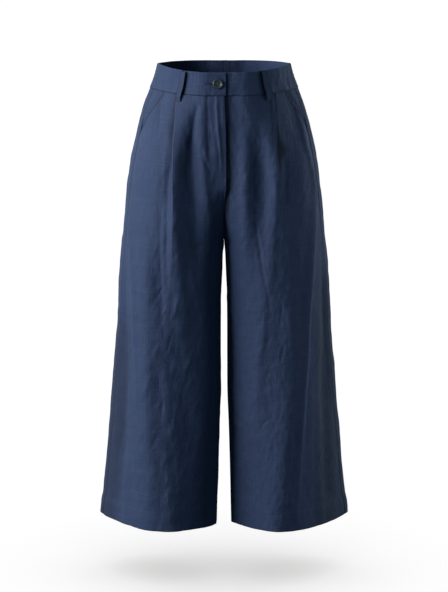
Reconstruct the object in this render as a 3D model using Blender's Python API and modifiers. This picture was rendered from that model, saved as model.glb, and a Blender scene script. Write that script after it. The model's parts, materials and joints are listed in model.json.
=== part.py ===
# Wide-leg linen culottes, worn shape, hollow: pleated fronts, plain backs, contoured waistband with a
# lapped front, fly, slanted pocket openings, five belt loops, one button and turned-up hems.
# Metres. +X is the wearer's left, -Y the front, +Z up. Z = 0 is the waist's top edge at centre front.
import math
from bisect import bisect_right
from functools import lru_cache

import bmesh
import bpy
from mathutils import Vector

# Lengths
HEM_Z = -0.868
CROTCH_Z = -0.3225
RISE_CURVE_FRONT_Z = -0.185
RISE_CURVE_BACK_Z = -0.165
BAND_DEPTH = 0.0427
BAND_SIDE_RISE = 0.004
WAIST_HALF_WIDTH = 0.1287
FLY_END_Z = -0.2055
FLY_JOIN_Z = -0.2130
FLY_FLAT_Z = -0.2350
ZIP_END_Z = -0.196
SHIELD_END_Z = -0.203
POCKET_END_Z = -0.1330
HEM_DEPTH = 0.040
HEM_REVEAL = 0.0004

# Thicknesses and clearances
CLOTH = 0.0012
BAND_WALL = 0.0025
HEM_WALL = 0.0010
ZIP_WALL = 0.0010
SEAM_GAP = 0.0003
LAYER_GAP = 0.0005

# Seams
SIDE_SEAM_INSET = 0.0065
POCKET_TOP_INSET = 0.034
POCKET_UNDERLAP = 0.012
POCKET_CLEAR = 0.004
POCKET_RISE = 0.014
POCKET_SINK = 0.0008
POCKET_FOOT_Z = -0.119
FLY_WIDTH = 0.031
FLY_UNDERLAP = 0.004
FLY_LIFT = 0.0009
BAND_OUT = 0.0015
BAND_LIFT = 0.0012
BAND_SINK = 0.0017
BAND_END = 0.0035
BAND_UNDERLAP = 0.030

# Belt loops
LOOP_WIDTH = 0.012
LOOP_WALL = 0.0015
LOOP_BACK_ARC = 0.080
LOOP_PANEL_Z = -0.048

# Button
BUTTON_ARC = -0.0113
BUTTON_Z = -0.0209
BUTTON_HOLE_RADIUS = 0.0009
BUTTON_HOLE_OFFSET = 0.0017

# Sampling
QUADRANT_STEPS = 56
NORMAL_REACH = 0.006
CENTRE_ROUND = 0.022
BACK_ROUND_Z = -0.14
BACK_ROUND_RISE = 0.06
PLEAT_STEP = 0.0030
FRONT_INNER_COLUMNS = 13
FRONT_OUTER_COLUMNS = 10
BACK_OUTER_COLUMNS = 10
BACK_INNER_COLUMNS = 9
BAND_COLUMNS = 26

# Rows of the panels
PANEL_TOP = -BAND_DEPTH - SEAM_GAP
POCKET_ROWS = [PANEL_TOP, -0.058, -0.075, -0.094, -0.114]
UPPER_ROWS = POCKET_ROWS + [POCKET_END_Z, -0.155, -0.182, FLY_END_Z, FLY_JOIN_Z]
FAN_ROWS = 8
FAN_SIDE_Z = -0.395
FAN_LEVEL_Z = -0.710
LEG_ROWS = 9
RING_ROWS = [HEM_Z + HEM_DEPTH, HEM_Z + 0.026, HEM_Z + 0.012]
HEM_ROWS = [-0.750, -0.790] + RING_ROWS + [HEM_Z]

# Half of the garment's outline and its side seam line, by height.
SILHOUETTE_COLUMNS = ("z", "half_width", "side_y")
SILHOUETTE = (
    (0.006, 0.1278, 0.012),
    (0.000, 0.1287, 0.012),
    (-0.021, 0.1330, 0.012),
    (-0.043, 0.1400, 0.012),
    (-0.070, 0.1498, 0.012),
    (-0.105, 0.1603, 0.012),
    (-0.150, 0.1702, 0.012),
    (-0.200, 0.1795, 0.012),
    (-0.266, 0.1869, 0.013),
    (-0.3225, 0.1920, 0.014),
    (-0.4056, 0.2000, 0.018),
    (-0.499, 0.2043, 0.021),
    (-0.569, 0.2104, 0.023),
    (-0.687, 0.2197, 0.026),
    (-0.8056, 0.2309, 0.029),
    (-0.829, 0.2339, 0.030),
    (-0.841, 0.2368, 0.030),
    (-0.868, 0.2391, 0.030),
)

# Front: the foremost line, the centre-front line, and the curve's powers from that line toward the inseam
# and toward the side. Crest powers shape it near the line, edge powers near the inseam or side.
FACE_COLUMNS = (
    "z", "crease_x", "crease_y", "centre_y", "inner_crest", "inner_edge", "outer_crest", "outer_edge",
)
FRONT = (
    (0.006, 0.0260, -0.0985, -0.0983, 0.80, 0.80, 1.00, 1.55),
    (-0.043, 0.0280, -0.1062, -0.1058, 0.80, 0.80, 1.00, 1.85),
    (-0.105, 0.0550, -0.1155, -0.1130, 0.72, 0.72, 0.98, 1.70),
    (-0.170, 0.0820, -0.1220, -0.1150, 0.66, 0.66, 0.98, 1.40),
    (-0.236, 0.0970, -0.1265, -0.1150, 0.70, 0.72, 1.00, 1.25),
    (-0.3225, 0.1080, -0.1310, -0.1150, 0.80, 0.88, 1.00, 1.22),
    (-0.410, 0.1105, -0.1330, -0.1150, 0.88, 1.05, 1.02, 1.28),
    (-0.550, 0.1090, -0.1345, -0.1150, 0.95, 1.30, 1.05, 1.38),
    (-0.700, 0.1070, -0.1350, -0.1150, 1.05, 1.55, 1.08, 1.46),
    (-0.868, 0.1045, -0.1345, -0.1150, 1.15, 2.05, 1.10, 1.72),
)
BACK = (
    (0.006, 0.0260, 0.0860, 0.0858, 0.80, 0.80, 1.00, 1.70),
    (-0.043, 0.0300, 0.0960, 0.0955, 0.80, 0.80, 1.00, 1.65),
    (-0.105, 0.0550, 0.1130, 0.1105, 0.72, 0.72, 0.98, 1.35),
    (-0.170, 0.0780, 0.1270, 0.1210, 0.70, 0.70, 0.98, 1.18),
    (-0.236, 0.0900, 0.1335, 0.1210, 0.75, 0.80, 1.00, 1.12),
    (-0.3225, 0.0980, 0.1350, 0.1210, 0.85, 0.98, 1.00, 1.15),
    (-0.410, 0.1050, 0.1330, 0.1210, 0.90, 1.10, 1.02, 1.20),
    (-0.550, 0.1100, 0.1290, 0.1210, 0.95, 1.25, 1.05, 1.28),
    (-0.700, 0.1130, 0.1265, 0.1210, 1.00, 1.40, 1.08, 1.36),
    (-0.868, 0.1150, 0.1250, 0.1210, 1.10, 1.50, 1.10, 1.45),
)

INSEAM_COLUMNS = ("z", "inner_x", "inner_y")
INSEAM = (
    (0.006, 0.00016, -0.0450),
    (-0.3225, 0.00016, -0.0450),
    (-0.345, 0.0018, -0.0450),
    (-0.390, 0.0038, -0.0455),
    (-0.430, 0.0055, -0.0460),
    (-0.600, 0.0060, -0.0480),
    (-0.680, 0.0088, -0.0490),
    (-0.780, 0.0115, -0.0500),
    (-0.829, 0.0125, -0.0515),
    (-0.868, 0.0134, -0.0520),
)

# The pleat's fold edge on each front, then the crease that it runs out into, and its lift.
PLEAT_COLUMNS = ("z", "right_x", "left_x", "lift")
PLEAT = (
    (-0.040, 0.0868, 0.0870, 0.0013),
    (-0.070, 0.0895, 0.0893, 0.0030),
    (-0.105, 0.0925, 0.0920, 0.0042),
    (-0.150, 0.0952, 0.0974, 0.0052),
    (-0.190, 0.0980, 0.1020, 0.0050),
    (-0.236, 0.1023, 0.1050, 0.0036),
    (-0.285, 0.1085, 0.1060, 0.0020),
    (-0.334, 0.1125, 0.1063, 0.0006),
    (-0.400, 0.1125, 0.1070, 0.0000),
    (-0.550, 0.1095, 0.1080, 0.0000),
    (-0.700, 0.1070, 0.1070, 0.0000),
    (-0.868, 0.1045, 0.1045, 0.0000),
)

# The line down each back that its mesh follows.
BACK_GUIDE_COLUMNS = ("z", "x")
BACK_GUIDE = ((-0.040, 0.070), (-0.200, 0.086), (-0.3225, 0.098), (-0.550, 0.110), (-0.868, 0.115))

# Soft folds: a line through three points on the front, its half width, and its height (troughs below 0).
FOLD_COLUMNS = (
    "side", "face", "top_z", "top_x", "mid_z", "mid_x", "low_z", "low_x", "width", "height",
)
FOLDS = (
    ("right", "front", -0.056, 0.0620, -0.199, 0.0570, -0.420, 0.0455, 0.0150, -0.0085),
    ("right", "front", -0.066, 0.0400, -0.199, 0.0380, -0.350, 0.0300, 0.0085, 0.0026),
    ("right", "front", -0.240, 0.1460, -0.560, 0.1430, -0.960, 0.1400, 0.0200, 0.0090),
    ("right", "front", -0.215, 0.1410, -0.345, 0.1360, -0.560, 0.1270, 0.0140, -0.0046),
    ("right", "front", -0.330, 0.0520, -0.600, 0.0460, -0.960, 0.0450, 0.0240, 0.0080),
    ("right", "front", -0.060, 0.1300, -0.140, 0.1380, -0.250, 0.1460, 0.0180, 0.0032),
    ("left", "front", -0.060, 0.0660, -0.200, 0.0675, -0.340, 0.0665, 0.0145, -0.0076),
    ("left", "front", -0.060, 0.0360, -0.200, 0.0400, -0.400, 0.0430, 0.0130, 0.0040),
    ("left", "front", -0.120, 0.1600, -0.266, 0.1750, -0.840, 0.1430, 0.0090, 0.0040),
    ("left", "front", -0.330, 0.1820, -0.600, 0.1880, -0.840, 0.1940, 0.0105, -0.0034),
    ("left", "front", -0.340, 0.0800, -0.480, 0.0720, -0.700, 0.0570, 0.0140, 0.0044),
    ("left", "front", -0.370, 0.0460, -0.620, 0.0450, -0.960, 0.0450, 0.0240, 0.0080),
    ("left", "front", -0.080, 0.1480, -0.200, 0.1520, -0.360, 0.1480, 0.0200, 0.0040),
    ("right", "back", -0.150, 0.0610, -0.400, 0.0580, -0.700, 0.0660, 0.0140, -0.0055),
    ("right", "back", -0.240, 0.1450, -0.470, 0.1520, -0.810, 0.1640, 0.0130, -0.0038),
    ("left", "back", -0.140, 0.0640, -0.360, 0.0670, -0.650, 0.0600, 0.0135, -0.0052),
    ("left", "back", -0.270, 0.1480, -0.520, 0.1570, -0.830, 0.1680, 0.0140, -0.0040),
)

# Where the fly's fold edge lies past the centre.
FLY_EDGE_COLUMNS = ("z", "past_centre")
FLY_EDGE = ((-0.040, 0.0004), (-0.125, 0.0037), (-0.190, 0.0045), (-0.2055, 0.0046))

# A belt loop's run: its clearance over what carries it, and how far from the centre the front ones lie.
LOOP_COLUMNS = ("z", "clear", "front_x")
LOOP = (
    (-0.0003, 0.0003, 0.0724),
    (-0.0025, 0.0009, 0.0725),
    (-0.0065, 0.0048, 0.0728),
    (-0.0100, 0.0065, 0.0731),
    (-0.0160, 0.0071, 0.0739),
    (-0.0230, 0.0071, 0.0749),
    (-0.0300, 0.0066, 0.0762),
    (-0.0380, 0.0050, 0.0784),
    (-0.0450, 0.0026, 0.0803),
    (-0.0500, 0.0006, 0.0818),
    (-0.0550, 0.0004, 0.0828),
)

# Button profile from the front's centre, over the rim, to the back's centre.
BUTTON_COLUMNS = ("radius", "height")
BUTTON = (
    (0.0000, 0.0019), (0.0045, 0.0019), (0.0058, 0.0025), (0.0070, 0.0032), (0.0084, 0.0032),
    (0.0093, 0.0024), (0.0095, 0.0014), (0.0084, 0.0004), (0.0060, 0.0000), (0.0000, 0.0000),
)

NAVY = (0.030, 0.048, 0.110, 1.0)
NAVY_INSIDE = (0.024, 0.038, 0.088, 1.0)
BUTTON_BLUE = (0.060, 0.085, 0.120, 1.0)

SIDES = {"right": -1, "left": 1}


def lerp(a, b, share):
    return a + (b - a) * share


def smooth(share):
    share = min(max(share, 0.0), 1.0)
    return share * share * (3 - 2 * share)


def steps(first, last, count):
    return [lerp(first, last, k / (count - 1)) for k in range(count)]


def reader(columns, rows):
    # A function that reads one column at a height, on a smooth curve through the rows.
    rows = sorted(rows)
    heights = [row[0] for row in rows]

    def slope(column, k):
        if k == 0 or k == len(rows) - 1:
            near = 1 if k == 0 else len(rows) - 2
            return (rows[near][column] - rows[k][column]) / (heights[near] - heights[k])
        before = (rows[k][column] - rows[k - 1][column]) / (heights[k] - heights[k - 1])
        after = (rows[k + 1][column] - rows[k][column]) / (heights[k + 1] - heights[k])
        return 0.0 if before * after <= 0 else 2 * before * after / (before + after)

    def read(name, height):
        column = columns.index(name)
        height = min(max(height, heights[0]), heights[-1])
        k = min(max(bisect_right(heights, height) - 1, 0), len(rows) - 2)
        span = heights[k + 1] - heights[k]
        t = (height - heights[k]) / span
        low, high = rows[k][column], rows[k + 1][column]
        bend_low, bend_high = slope(column, k) * span, slope(column, k + 1) * span
        return (
            low * (2 * t**3 - 3 * t**2 + 1)
            + bend_low * (t**3 - 2 * t**2 + t)
            + high * (3 * t**2 - 2 * t**3)
            + bend_high * (t**3 - t**2)
        )

    return read


silhouette = reader(SILHOUETTE_COLUMNS, SILHOUETTE)
front = reader(FACE_COLUMNS, FRONT)
back = reader(FACE_COLUMNS, BACK)
inseam = reader(INSEAM_COLUMNS, INSEAM)
pleat = reader(PLEAT_COLUMNS, PLEAT)
back_guide = reader(BACK_GUIDE_COLUMNS, BACK_GUIDE)
fly_edge = reader(FLY_EDGE_COLUMNS, FLY_EDGE)


def centre_y(read, curve_top, z):
    # The rise seam: straight down, then a quarter ellipse to the crotch.
    if z >= curve_top:
        return read("centre_y", z)
    share = min((curve_top - z) / (curve_top - CROTCH_Z), 1.0)
    start = read("centre_y", curve_top)
    return lerp(start, inseam("inner_y", CROTCH_Z), 1 - math.sqrt(1 - share * share))


def quadrant(crease, extreme, crest_power, edge_power, first, last):
    # Points between a crease (angle 0) and an extreme (a right angle), a superellipse of two powers.
    made = []
    for angle in steps(first, last, QUADRANT_STEPS):
        across = math.sin(angle) ** crest_power
        along = max(math.cos(angle), 0.0) ** edge_power
        made.append((lerp(crease[0], extreme[0], across), lerp(extreme[1], crease[1], along)))
    return made


def inner_quadrant(read, curve_top, z):
    # From the crease to the inseam, or to the centre plane above the crotch.
    crease = (read("crease_x", z), read("crease_y", z))
    inner_x, inner_y = inseam("inner_x", z), inseam("inner_y", z)
    crest, edge = read("inner_crest", z), read("inner_edge", z)
    last = math.pi / 2
    if z > CROTCH_Z:
        share = (centre_y(read, curve_top, z) - inner_y) / (crease[1] - inner_y)
        last = math.acos(max(share, 0.0) ** (1 / edge))
    reach = (crease[0] - inner_x) / math.sin(last) ** crest
    return quadrant(crease, (crease[0] - reach, inner_y), crest, edge, 0, last)


def outer_quadrant(read, z):
    crease = (read("crease_x", z), read("crease_y", z))
    side = (silhouette("half_width", z), silhouette("side_y", z))
    return quadrant(crease, side, read("outer_crest", z), read("outer_edge", z), 0, math.pi / 2)


def rounded_centre(points, share):
    # Where a lap, band or loop crosses the centre, the line starts square to the centre plane.
    if share <= 0:
        return points
    first = points[0]
    near = next(p for p in points if p[0] > CENTRE_ROUND / 4)
    slope = share * (near[1] - first[1]) / (near[0] - first[0])
    end = next(k for k, p in enumerate(points) if p[0] > CENTRE_ROUND)
    eased = [(x, y + slope * (CENTRE_ROUND - x) ** 2 / (2 * CENTRE_ROUND)) for x, y in points[:end]]
    return eased + points[end:]


class Section:
    # One half's outline at a height: from the centre front or inseam, round the side, to the back.
    def __init__(self, z):
        points = inner_quadrant(front, RISE_CURVE_FRONT_Z, z)[::-1]
        points += outer_quadrant(front, z)[1:]
        self.widest = len(points) - 1
        points += outer_quadrant(back, z)[::-1][1:]
        points += inner_quadrant(back, RISE_CURVE_BACK_Z, z)[1:]
        points = rounded_centre(points, smooth((z - FLY_FLAT_Z) / (FLY_JOIN_Z - FLY_FLAT_Z)))
        points = rounded_centre(points[::-1], smooth((z - BACK_ROUND_Z) / BACK_ROUND_RISE))[::-1]
        self.z = z
        self.points = points
        self.closed = z <= CROTCH_Z
        self.lengths = [0.0]
        for a, b in zip(points, points[1:]):
            self.lengths.append(self.lengths[-1] + math.hypot(b[0] - a[0], b[1] - a[1]))
        self.total = self.lengths[-1]
        self.seam = self.front_arc_at(silhouette("half_width", z) - SIDE_SEAM_INSET)

    def arc_between(self, near, far, x):
        # The arc length where the line crosses a distance from the centre, between two points of it.
        a, b = self.points[near][0], self.points[far][0]
        share = (x - a) / (b - a) if b > a else 0.0
        return lerp(self.lengths[near], self.lengths[far], share)

    def front_arc_at(self, x):
        for k in range(self.widest):
            if self.points[k + 1][0] >= x:
                return self.arc_between(k, k + 1, x)
        return self.lengths[self.widest]

    def back_arc_at(self, x):
        for k in range(len(self.points) - 1, self.widest, -1):
            if self.points[k - 1][0] >= x:
                return self.arc_between(k, k - 1, x)
        return self.lengths[self.widest]

    def spot(self, arc):
        if self.closed:
            arc %= self.total
        arc = min(max(arc, 0.0), self.total)
        k = min(bisect_right(self.lengths, arc) - 1, len(self.points) - 2)
        span = self.lengths[k + 1] - self.lengths[k]
        share = (arc - self.lengths[k]) / span if span else 0
        a, b = self.points[k], self.points[k + 1]
        return lerp(a[0], b[0], share), lerp(a[1], b[1], share)

    def normal(self, arc):
        a, b = self.spot(arc - NORMAL_REACH), self.spot(arc + NORMAL_REACH)
        out = Vector((b[1] - a[1], a[0] - b[0]))
        if self.z > FLY_END_Z:
            out.x *= smooth(arc / 0.012) * smooth((self.total - arc) / 0.012)
        return out.normalized()


@lru_cache(maxsize=None)
def section(z):
    return Section(round(z, 6))


def body_point(arc, z, out=0.0):
    # Arc length from the centre front or inseam, positive on the wearer's left, and distance outward.
    cut = section(z)
    side = -1 if arc < 0 else 1
    x, y = cut.spot(abs(arc))
    normal = cut.normal(abs(arc))
    return Vector((side * (x + normal.x * out), y + normal.y * out, z))


def back_point(arc, z, out=0.0):
    # The same, from the centre back.
    side = -1 if arc < 0 else 1
    return body_point(side * (section(z).total - abs(arc)), z, out)


def fold_relief(side, face, x, z):
    total = 0.0
    for row in FOLDS:
        fold = dict(zip(FOLD_COLUMNS, row))
        if fold["side"] != side or fold["face"] != face:
            continue
        if not fold["low_z"] < z < fold["top_z"]:
            continue
        share = (fold["top_z"] - z) / (fold["top_z"] - fold["low_z"])
        middle = (fold["top_z"] - fold["mid_z"]) / (fold["top_z"] - fold["low_z"])
        if share < middle:
            line = lerp(fold["top_x"], fold["mid_x"], math.sin(share / middle * math.pi / 2))
        else:
            line = lerp(fold["mid_x"], fold["low_x"], ((share - middle) / (1 - middle)) ** 1.5)
        swell = math.sin(math.pi * share**0.8)
        total += fold["height"] * swell * math.exp(-(((x - line) / fold["width"]) ** 2))
    return total


def pleat_lift(side, x, z):
    # Falls off softly toward the centre, and at once past the fold edge.
    past = x - pleat(side + "_x", z)
    if past <= 0:
        return pleat("lift", z) * math.exp(-((past / 0.024) ** 2))
    return pleat("lift", z) * (1 - smooth(past / PLEAT_STEP))


def front_relief(side, arc, z):
    cut = section(z)
    x = cut.spot(arc)[0]
    fade = smooth(arc / 0.02) * smooth((cut.seam - arc) / 0.02)
    return fade * fold_relief(side, "front", x, z) + pleat_lift(side, x, z)


def back_relief(side, arc, z):
    cut = section(z)
    x = cut.spot(arc)[0]
    fade = smooth((arc - cut.seam) / 0.04) * smooth((cut.total - arc) / 0.02)
    return fade * fold_relief(side, "back", x, z)


# Materials

def material(name, colour, roughness, metallic=0.0):
    made = bpy.data.materials.new(name)
    made.use_nodes = True
    shader = made.node_tree.nodes["Principled BSDF"]
    shader.inputs["Base Color"].default_value = colour
    shader.inputs["Roughness"].default_value = roughness
    shader.inputs["Metallic"].default_value = metallic
    made.diffuse_color = colour
    return made


# Meshes

def put(name, mesh, cover, home):
    mesh.materials.append(cover)
    made = bpy.data.objects.new(name, mesh)
    home.objects.link(made)
    return made


def cloth_wall(name, outer, inner, cover, home, closed=False):
    # A loft between unlike sections: rows of outer points over rows of inner ones, with the rims closed.
    bm = bmesh.new()
    faces = [[[bm.verts.new(p) for p in row] for row in side] for side in (outer, inner)]
    rows, columns = len(outer), len(outer[0])
    lines = columns if closed else columns - 1
    for side, flip in zip(faces, (False, True)):
        for r in range(rows - 1):
            for c in range(lines):
                d = (c + 1) % columns
                ring = [side[r][c], side[r + 1][c], side[r + 1][d], side[r][d]]
                bm.faces.new(ring[::-1] if flip else ring)
    over, under = faces
    rims = [(0, c, 0, (c + 1) % columns) for c in range(lines)]
    rims += [(rows - 1, (c + 1) % columns, rows - 1, c) for c in range(lines)]
    if not closed:
        rims += [(r + 1, 0, r, 0) for r in range(rows - 1)]
        rims += [(r, columns - 1, r + 1, columns - 1) for r in range(rows - 1)]
    for r, c, s, d in rims:
        bm.faces.new([over[r][c], over[s][d], under[s][d], under[r][c]])
    bmesh.ops.recalc_face_normals(bm, faces=bm.faces)
    if bm.calc_volume(signed=True) < 0:
        bmesh.ops.reverse_faces(bm, faces=bm.faces)
    mesh = bpy.data.meshes.new(name)
    bm.to_mesh(mesh)
    bm.free()
    made = put(name, mesh, cover, home)
    mesh.shade_smooth()
    mesh.set_sharp_from_angle(angle=math.radians(50))
    return made


def wall_on_body(name, grid, out_at, wall, cover, home, closed=False):
    # A grid holds rows of (arc, height); out_at(arc, height) says how far out the outer face lies.
    outer = [[body_point(arc, z, out_at(arc, z)) for arc, z in row] for row in grid]
    inner = [[body_point(arc, z, out_at(arc, z) - wall) for arc, z in row] for row in grid]
    return cloth_wall(name, outer, inner, cover, home, closed)


# Rows of the panels

def panel_rows(curve_top):
    # Each row's height at the inner edge and at the outer side. Along the rise curve the rows fan out,
    # lower at the side than at the seam, so that they meet the seam at an open angle.
    rows = [(z, z) for z in UPPER_ROWS]
    first = math.asin((curve_top - FLY_JOIN_Z) / (curve_top - CROTCH_Z))
    angles = steps(first, math.pi / 2, FAN_ROWS)
    sides = steps(FLY_JOIN_Z, FAN_SIDE_Z, FAN_ROWS)
    for angle, side_z in list(zip(angles, sides))[1:]:
        rows.append((lerp(curve_top, CROTCH_Z, math.sin(angle)), side_z))
    inner, outer = steps(CROTCH_Z, FAN_LEVEL_Z, LEG_ROWS), steps(FAN_SIDE_Z, FAN_LEVEL_Z, LEG_ROWS)
    rows += list(zip(inner, outer))[1:]
    return rows + [(z, z) for z in HEM_ROWS]


# Fronts

def pocket_arc(z):
    # The pocket's edge runs from near the side at the band down to the side seam.
    share = (z - POCKET_END_Z) / (PANEL_TOP - POCKET_END_Z)
    return section(z).seam - POCKET_TOP_INSET * max(share, 0.0) ** 1.15


def inner_edge(side, z):
    # How far the front's centre edge stops short of the centre; below zero it passes it.
    reach = fly_edge("past_centre", z) if side == "right" else FLY_UNDERLAP
    share = (z - FLY_JOIN_Z) / (FLY_END_Z - FLY_JOIN_Z)
    if z > FLY_JOIN_Z:
        return -reach * min(share, 1.0)
    return 0.0 if z > CROTCH_Z else SEAM_GAP / 2


def fly_out(side, arc, z):
    # The overlap stands out and the underlap lies in, easing away below the fly.
    down = smooth((z - FLY_FLAT_Z) / (FLY_JOIN_Z - FLY_FLAT_Z))
    if side == "right":
        return FLY_LIFT * down * (1 - smooth((arc - 0.014) / (FLY_WIDTH - 0.014)))
    return -FLY_LIFT * down * (1 - smooth((arc - 0.006) / 0.016))


def front_row(side, inner_z, outer_z):
    # From the inner edge to the pleat's fold, then past its step to the side.
    def fold(z):
        return section(z).front_arc_at(pleat(side + "_x", z))

    reach = fold(inner_z) - inner_edge(side, inner_z)
    row = []
    for share in steps(0, 1, FRONT_INNER_COLUMNS):
        z = lerp(inner_z, outer_z, smooth(share))
        row.append((fold(z) - reach * (1 - share), z))
    last = min(section(outer_z).seam - SEAM_GAP / 2, pocket_arc(outer_z))
    outer = steps(fold(outer_z) + PLEAT_STEP, last, FRONT_OUTER_COLUMNS)
    return row + [(arc, outer_z) for arc in outer]


def signed(side, grid):
    return [[(SIDES[side] * arc, z) for arc, z in row] for row in grid]


def make_front(side, cover, home):
    def out_at(arc, z):
        arc *= SIDES[side]
        return front_relief(side, max(arc, 0.0), z) + fly_out(side, arc, z)

    grid = [front_row(side, *row) for row in panel_rows(RISE_CURVE_FRONT_Z)]
    return wall_on_body("front_" + side, signed(side, grid), out_at, CLOTH, cover, home)


def make_pocket_facing(side, cover, home):
    # Under the front's pocket edge, coming flush at the side seam.
    def out_at(arc, z):
        past = SIDES[side] * arc - pocket_arc(z) - POCKET_CLEAR
        return -(CLOTH + POCKET_SINK) * (1 - smooth(past / POCKET_RISE))

    grid = []
    for z in POCKET_ROWS + [POCKET_FOOT_Z]:
        first, last = pocket_arc(z) - POCKET_UNDERLAP, section(z).seam - SEAM_GAP / 2
        grid.append([(arc, z) for arc in steps(first, last, 8)])
    return wall_on_body(
        "pocket_facing_" + side, signed(side, grid), out_at, CLOTH, cover, home
    )


# Fly's hidden layers

def make_fly_strip(name, first, last, out, wall, low_z, cover, home):
    grid = [[(arc, z) for arc in steps(first, last, 6)] for z in steps(PANEL_TOP, low_z, 8)]
    return wall_on_body(name, grid, lambda arc, z: out, wall, cover, home)


def make_fly(zip_cover, cover, home):
    behind_left = -FLY_LIFT - CLOTH - LAYER_GAP
    make_fly_strip("fly_zip", -0.016, 0.012, behind_left, ZIP_WALL, ZIP_END_Z, zip_cover, home)
    behind_zip = behind_left - ZIP_WALL - LAYER_GAP
    make_fly_strip("fly_shield", -0.030, 0.014, behind_zip, CLOTH, SHIELD_END_Z, cover, home)


# Backs

def back_row(inner_z, outer_z):
    # From the side seam to the guide line down the back, then on to the inner edge.
    def guide(z):
        return section(z).back_arc_at(back_guide("x", z))

    gap = 0.0 if inner_z > CROTCH_Z else SEAM_GAP / 2
    reach = section(inner_z).total - gap - guide(inner_z)
    first = section(outer_z).seam + SEAM_GAP / 2
    row = [(arc, outer_z) for arc in steps(first, guide(outer_z), BACK_OUTER_COLUMNS)]
    for share in steps(1, 0, BACK_INNER_COLUMNS)[1:]:
        z = lerp(inner_z, outer_z, smooth(share))
        row.append((guide(z) + reach * (1 - share), z))
    return row


def make_back(side, cover, home):
    def out_at(arc, z):
        return back_relief(side, abs(arc), z)

    grid = [back_row(*row) for row in panel_rows(RISE_CURVE_BACK_Z)]
    return wall_on_body("back_" + side, signed(side, grid), out_at, CLOTH, cover, home)


# Hems

def make_hem(side, cover, home):
    # A ring inside the leg on the panels' own columns, so that the layers stay parallel.
    heights = RING_ROWS + [HEM_Z + HEM_REVEAL]
    grid = [front_row(side, z, z) + back_row(z, z) for z in heights]
    out = -CLOTH - LAYER_GAP
    return wall_on_body(
        "hem_" + side, signed(side, grid), lambda arc, z: out, HEM_WALL, cover, home, closed=True
    )


# Waistband

def band_height(share, x):
    # Share 0 is the seam and 1 the top edge, which rises toward the sides.
    top = BAND_SIDE_RISE * (abs(x) / WAIST_HALF_WIDTH) ** 2
    return lerp(-BAND_DEPTH, top, share)


def make_band(side, cover, home):
    # Arc shares run from the lapped end to the centre back, on the top edge's length.
    total = section(0.0).total
    if side == "right":
        near = steps(BAND_END, -0.036, 6)
        arcs = near + steps(-0.036, -total, BAND_COLUMNS)[1:]
        outs = [BAND_OUT + BAND_LIFT * (1 - smooth((-arc - 0.036) / 0.03)) for arc in arcs]
    else:
        near = steps(-BAND_UNDERLAP, 0.030, 8)
        arcs = near + steps(0.030, total, BAND_COLUMNS)[1:]
        outs = [BAND_OUT - BAND_SINK * (1 - smooth((arc - 0.006) / 0.022)) for arc in arcs]
    outer, inner = [], []
    for share, thin in ((1.0, 0.0005), (0.93, 0.0), (0.5, 0.0), (0.07, 0.0), (0.0, 0.0004)):
        rows = ([], [])
        for arc, out in zip(arcs, outs):
            z = band_height(share, section(0.0).spot(abs(arc))[0])
            stretch = section(z).total / total if abs(arc) > 0.04 else 1.0
            stretch = lerp(1.0, stretch, smooth((abs(arc) - 0.04) / 0.10))
            rows[0].append(body_point(arc * stretch, z, out - thin))
            rows[1].append(body_point(arc * stretch, z, out - BAND_WALL + thin))
        outer.append(rows[0])
        inner.append(rows[1])
    return cloth_wall("waistband_" + side, outer, inner, cover, home)


# Belt loops

def make_loop(name, centre_at, panel_out, cover, home):
    # A flat strip that stands off the band, sewn down at its top edge and, below the seam, on the panel.
    outer, inner = [], []
    for row in LOOP:
        run = dict(zip(LOOP_COLUMNS, row))
        z = run["z"]
        middle, tangent, normal = centre_at(run)
        clear = run["clear"] + (BAND_OUT if z > LOOP_PANEL_Z else panel_out(z))
        across = steps(-LOOP_WIDTH / 2, LOOP_WIDTH / 2, 3)
        inner.append([middle + tangent * u + normal * clear for u in across])
        outer.append([middle + tangent * u + normal * (clear + LOOP_WALL) for u in across])
    return cloth_wall(name, outer, inner, cover, home)


def frame_at(point, arc, z):
    middle = point(arc, z)
    normal = (point(arc, z, 0.01) - middle).normalized()
    return middle, Vector((-normal.y, normal.x, 0.0)), normal


def make_loops(cover, home):
    for side, sign in SIDES.items():

        def front_centre(run, sign=sign):
            arc = section(run["z"]).front_arc_at(run["front_x"])
            return frame_at(body_point, sign * arc, run["z"])

        def back_centre(run, sign=sign):
            return frame_at(back_point, sign * LOOP_BACK_ARC, run["z"])

        make_loop(
            "belt_loop_front_" + side, front_centre, lambda z: pleat("lift", z), cover, home
        )
        make_loop("belt_loop_back_" + side, back_centre, lambda z: 0.0, cover, home)
    make_loop(
        "belt_loop_centre_back",
        lambda run: frame_at(back_point, 0.0, run["z"]),
        lambda z: 0.0,
        cover,
        home,
    )


# Button

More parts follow.
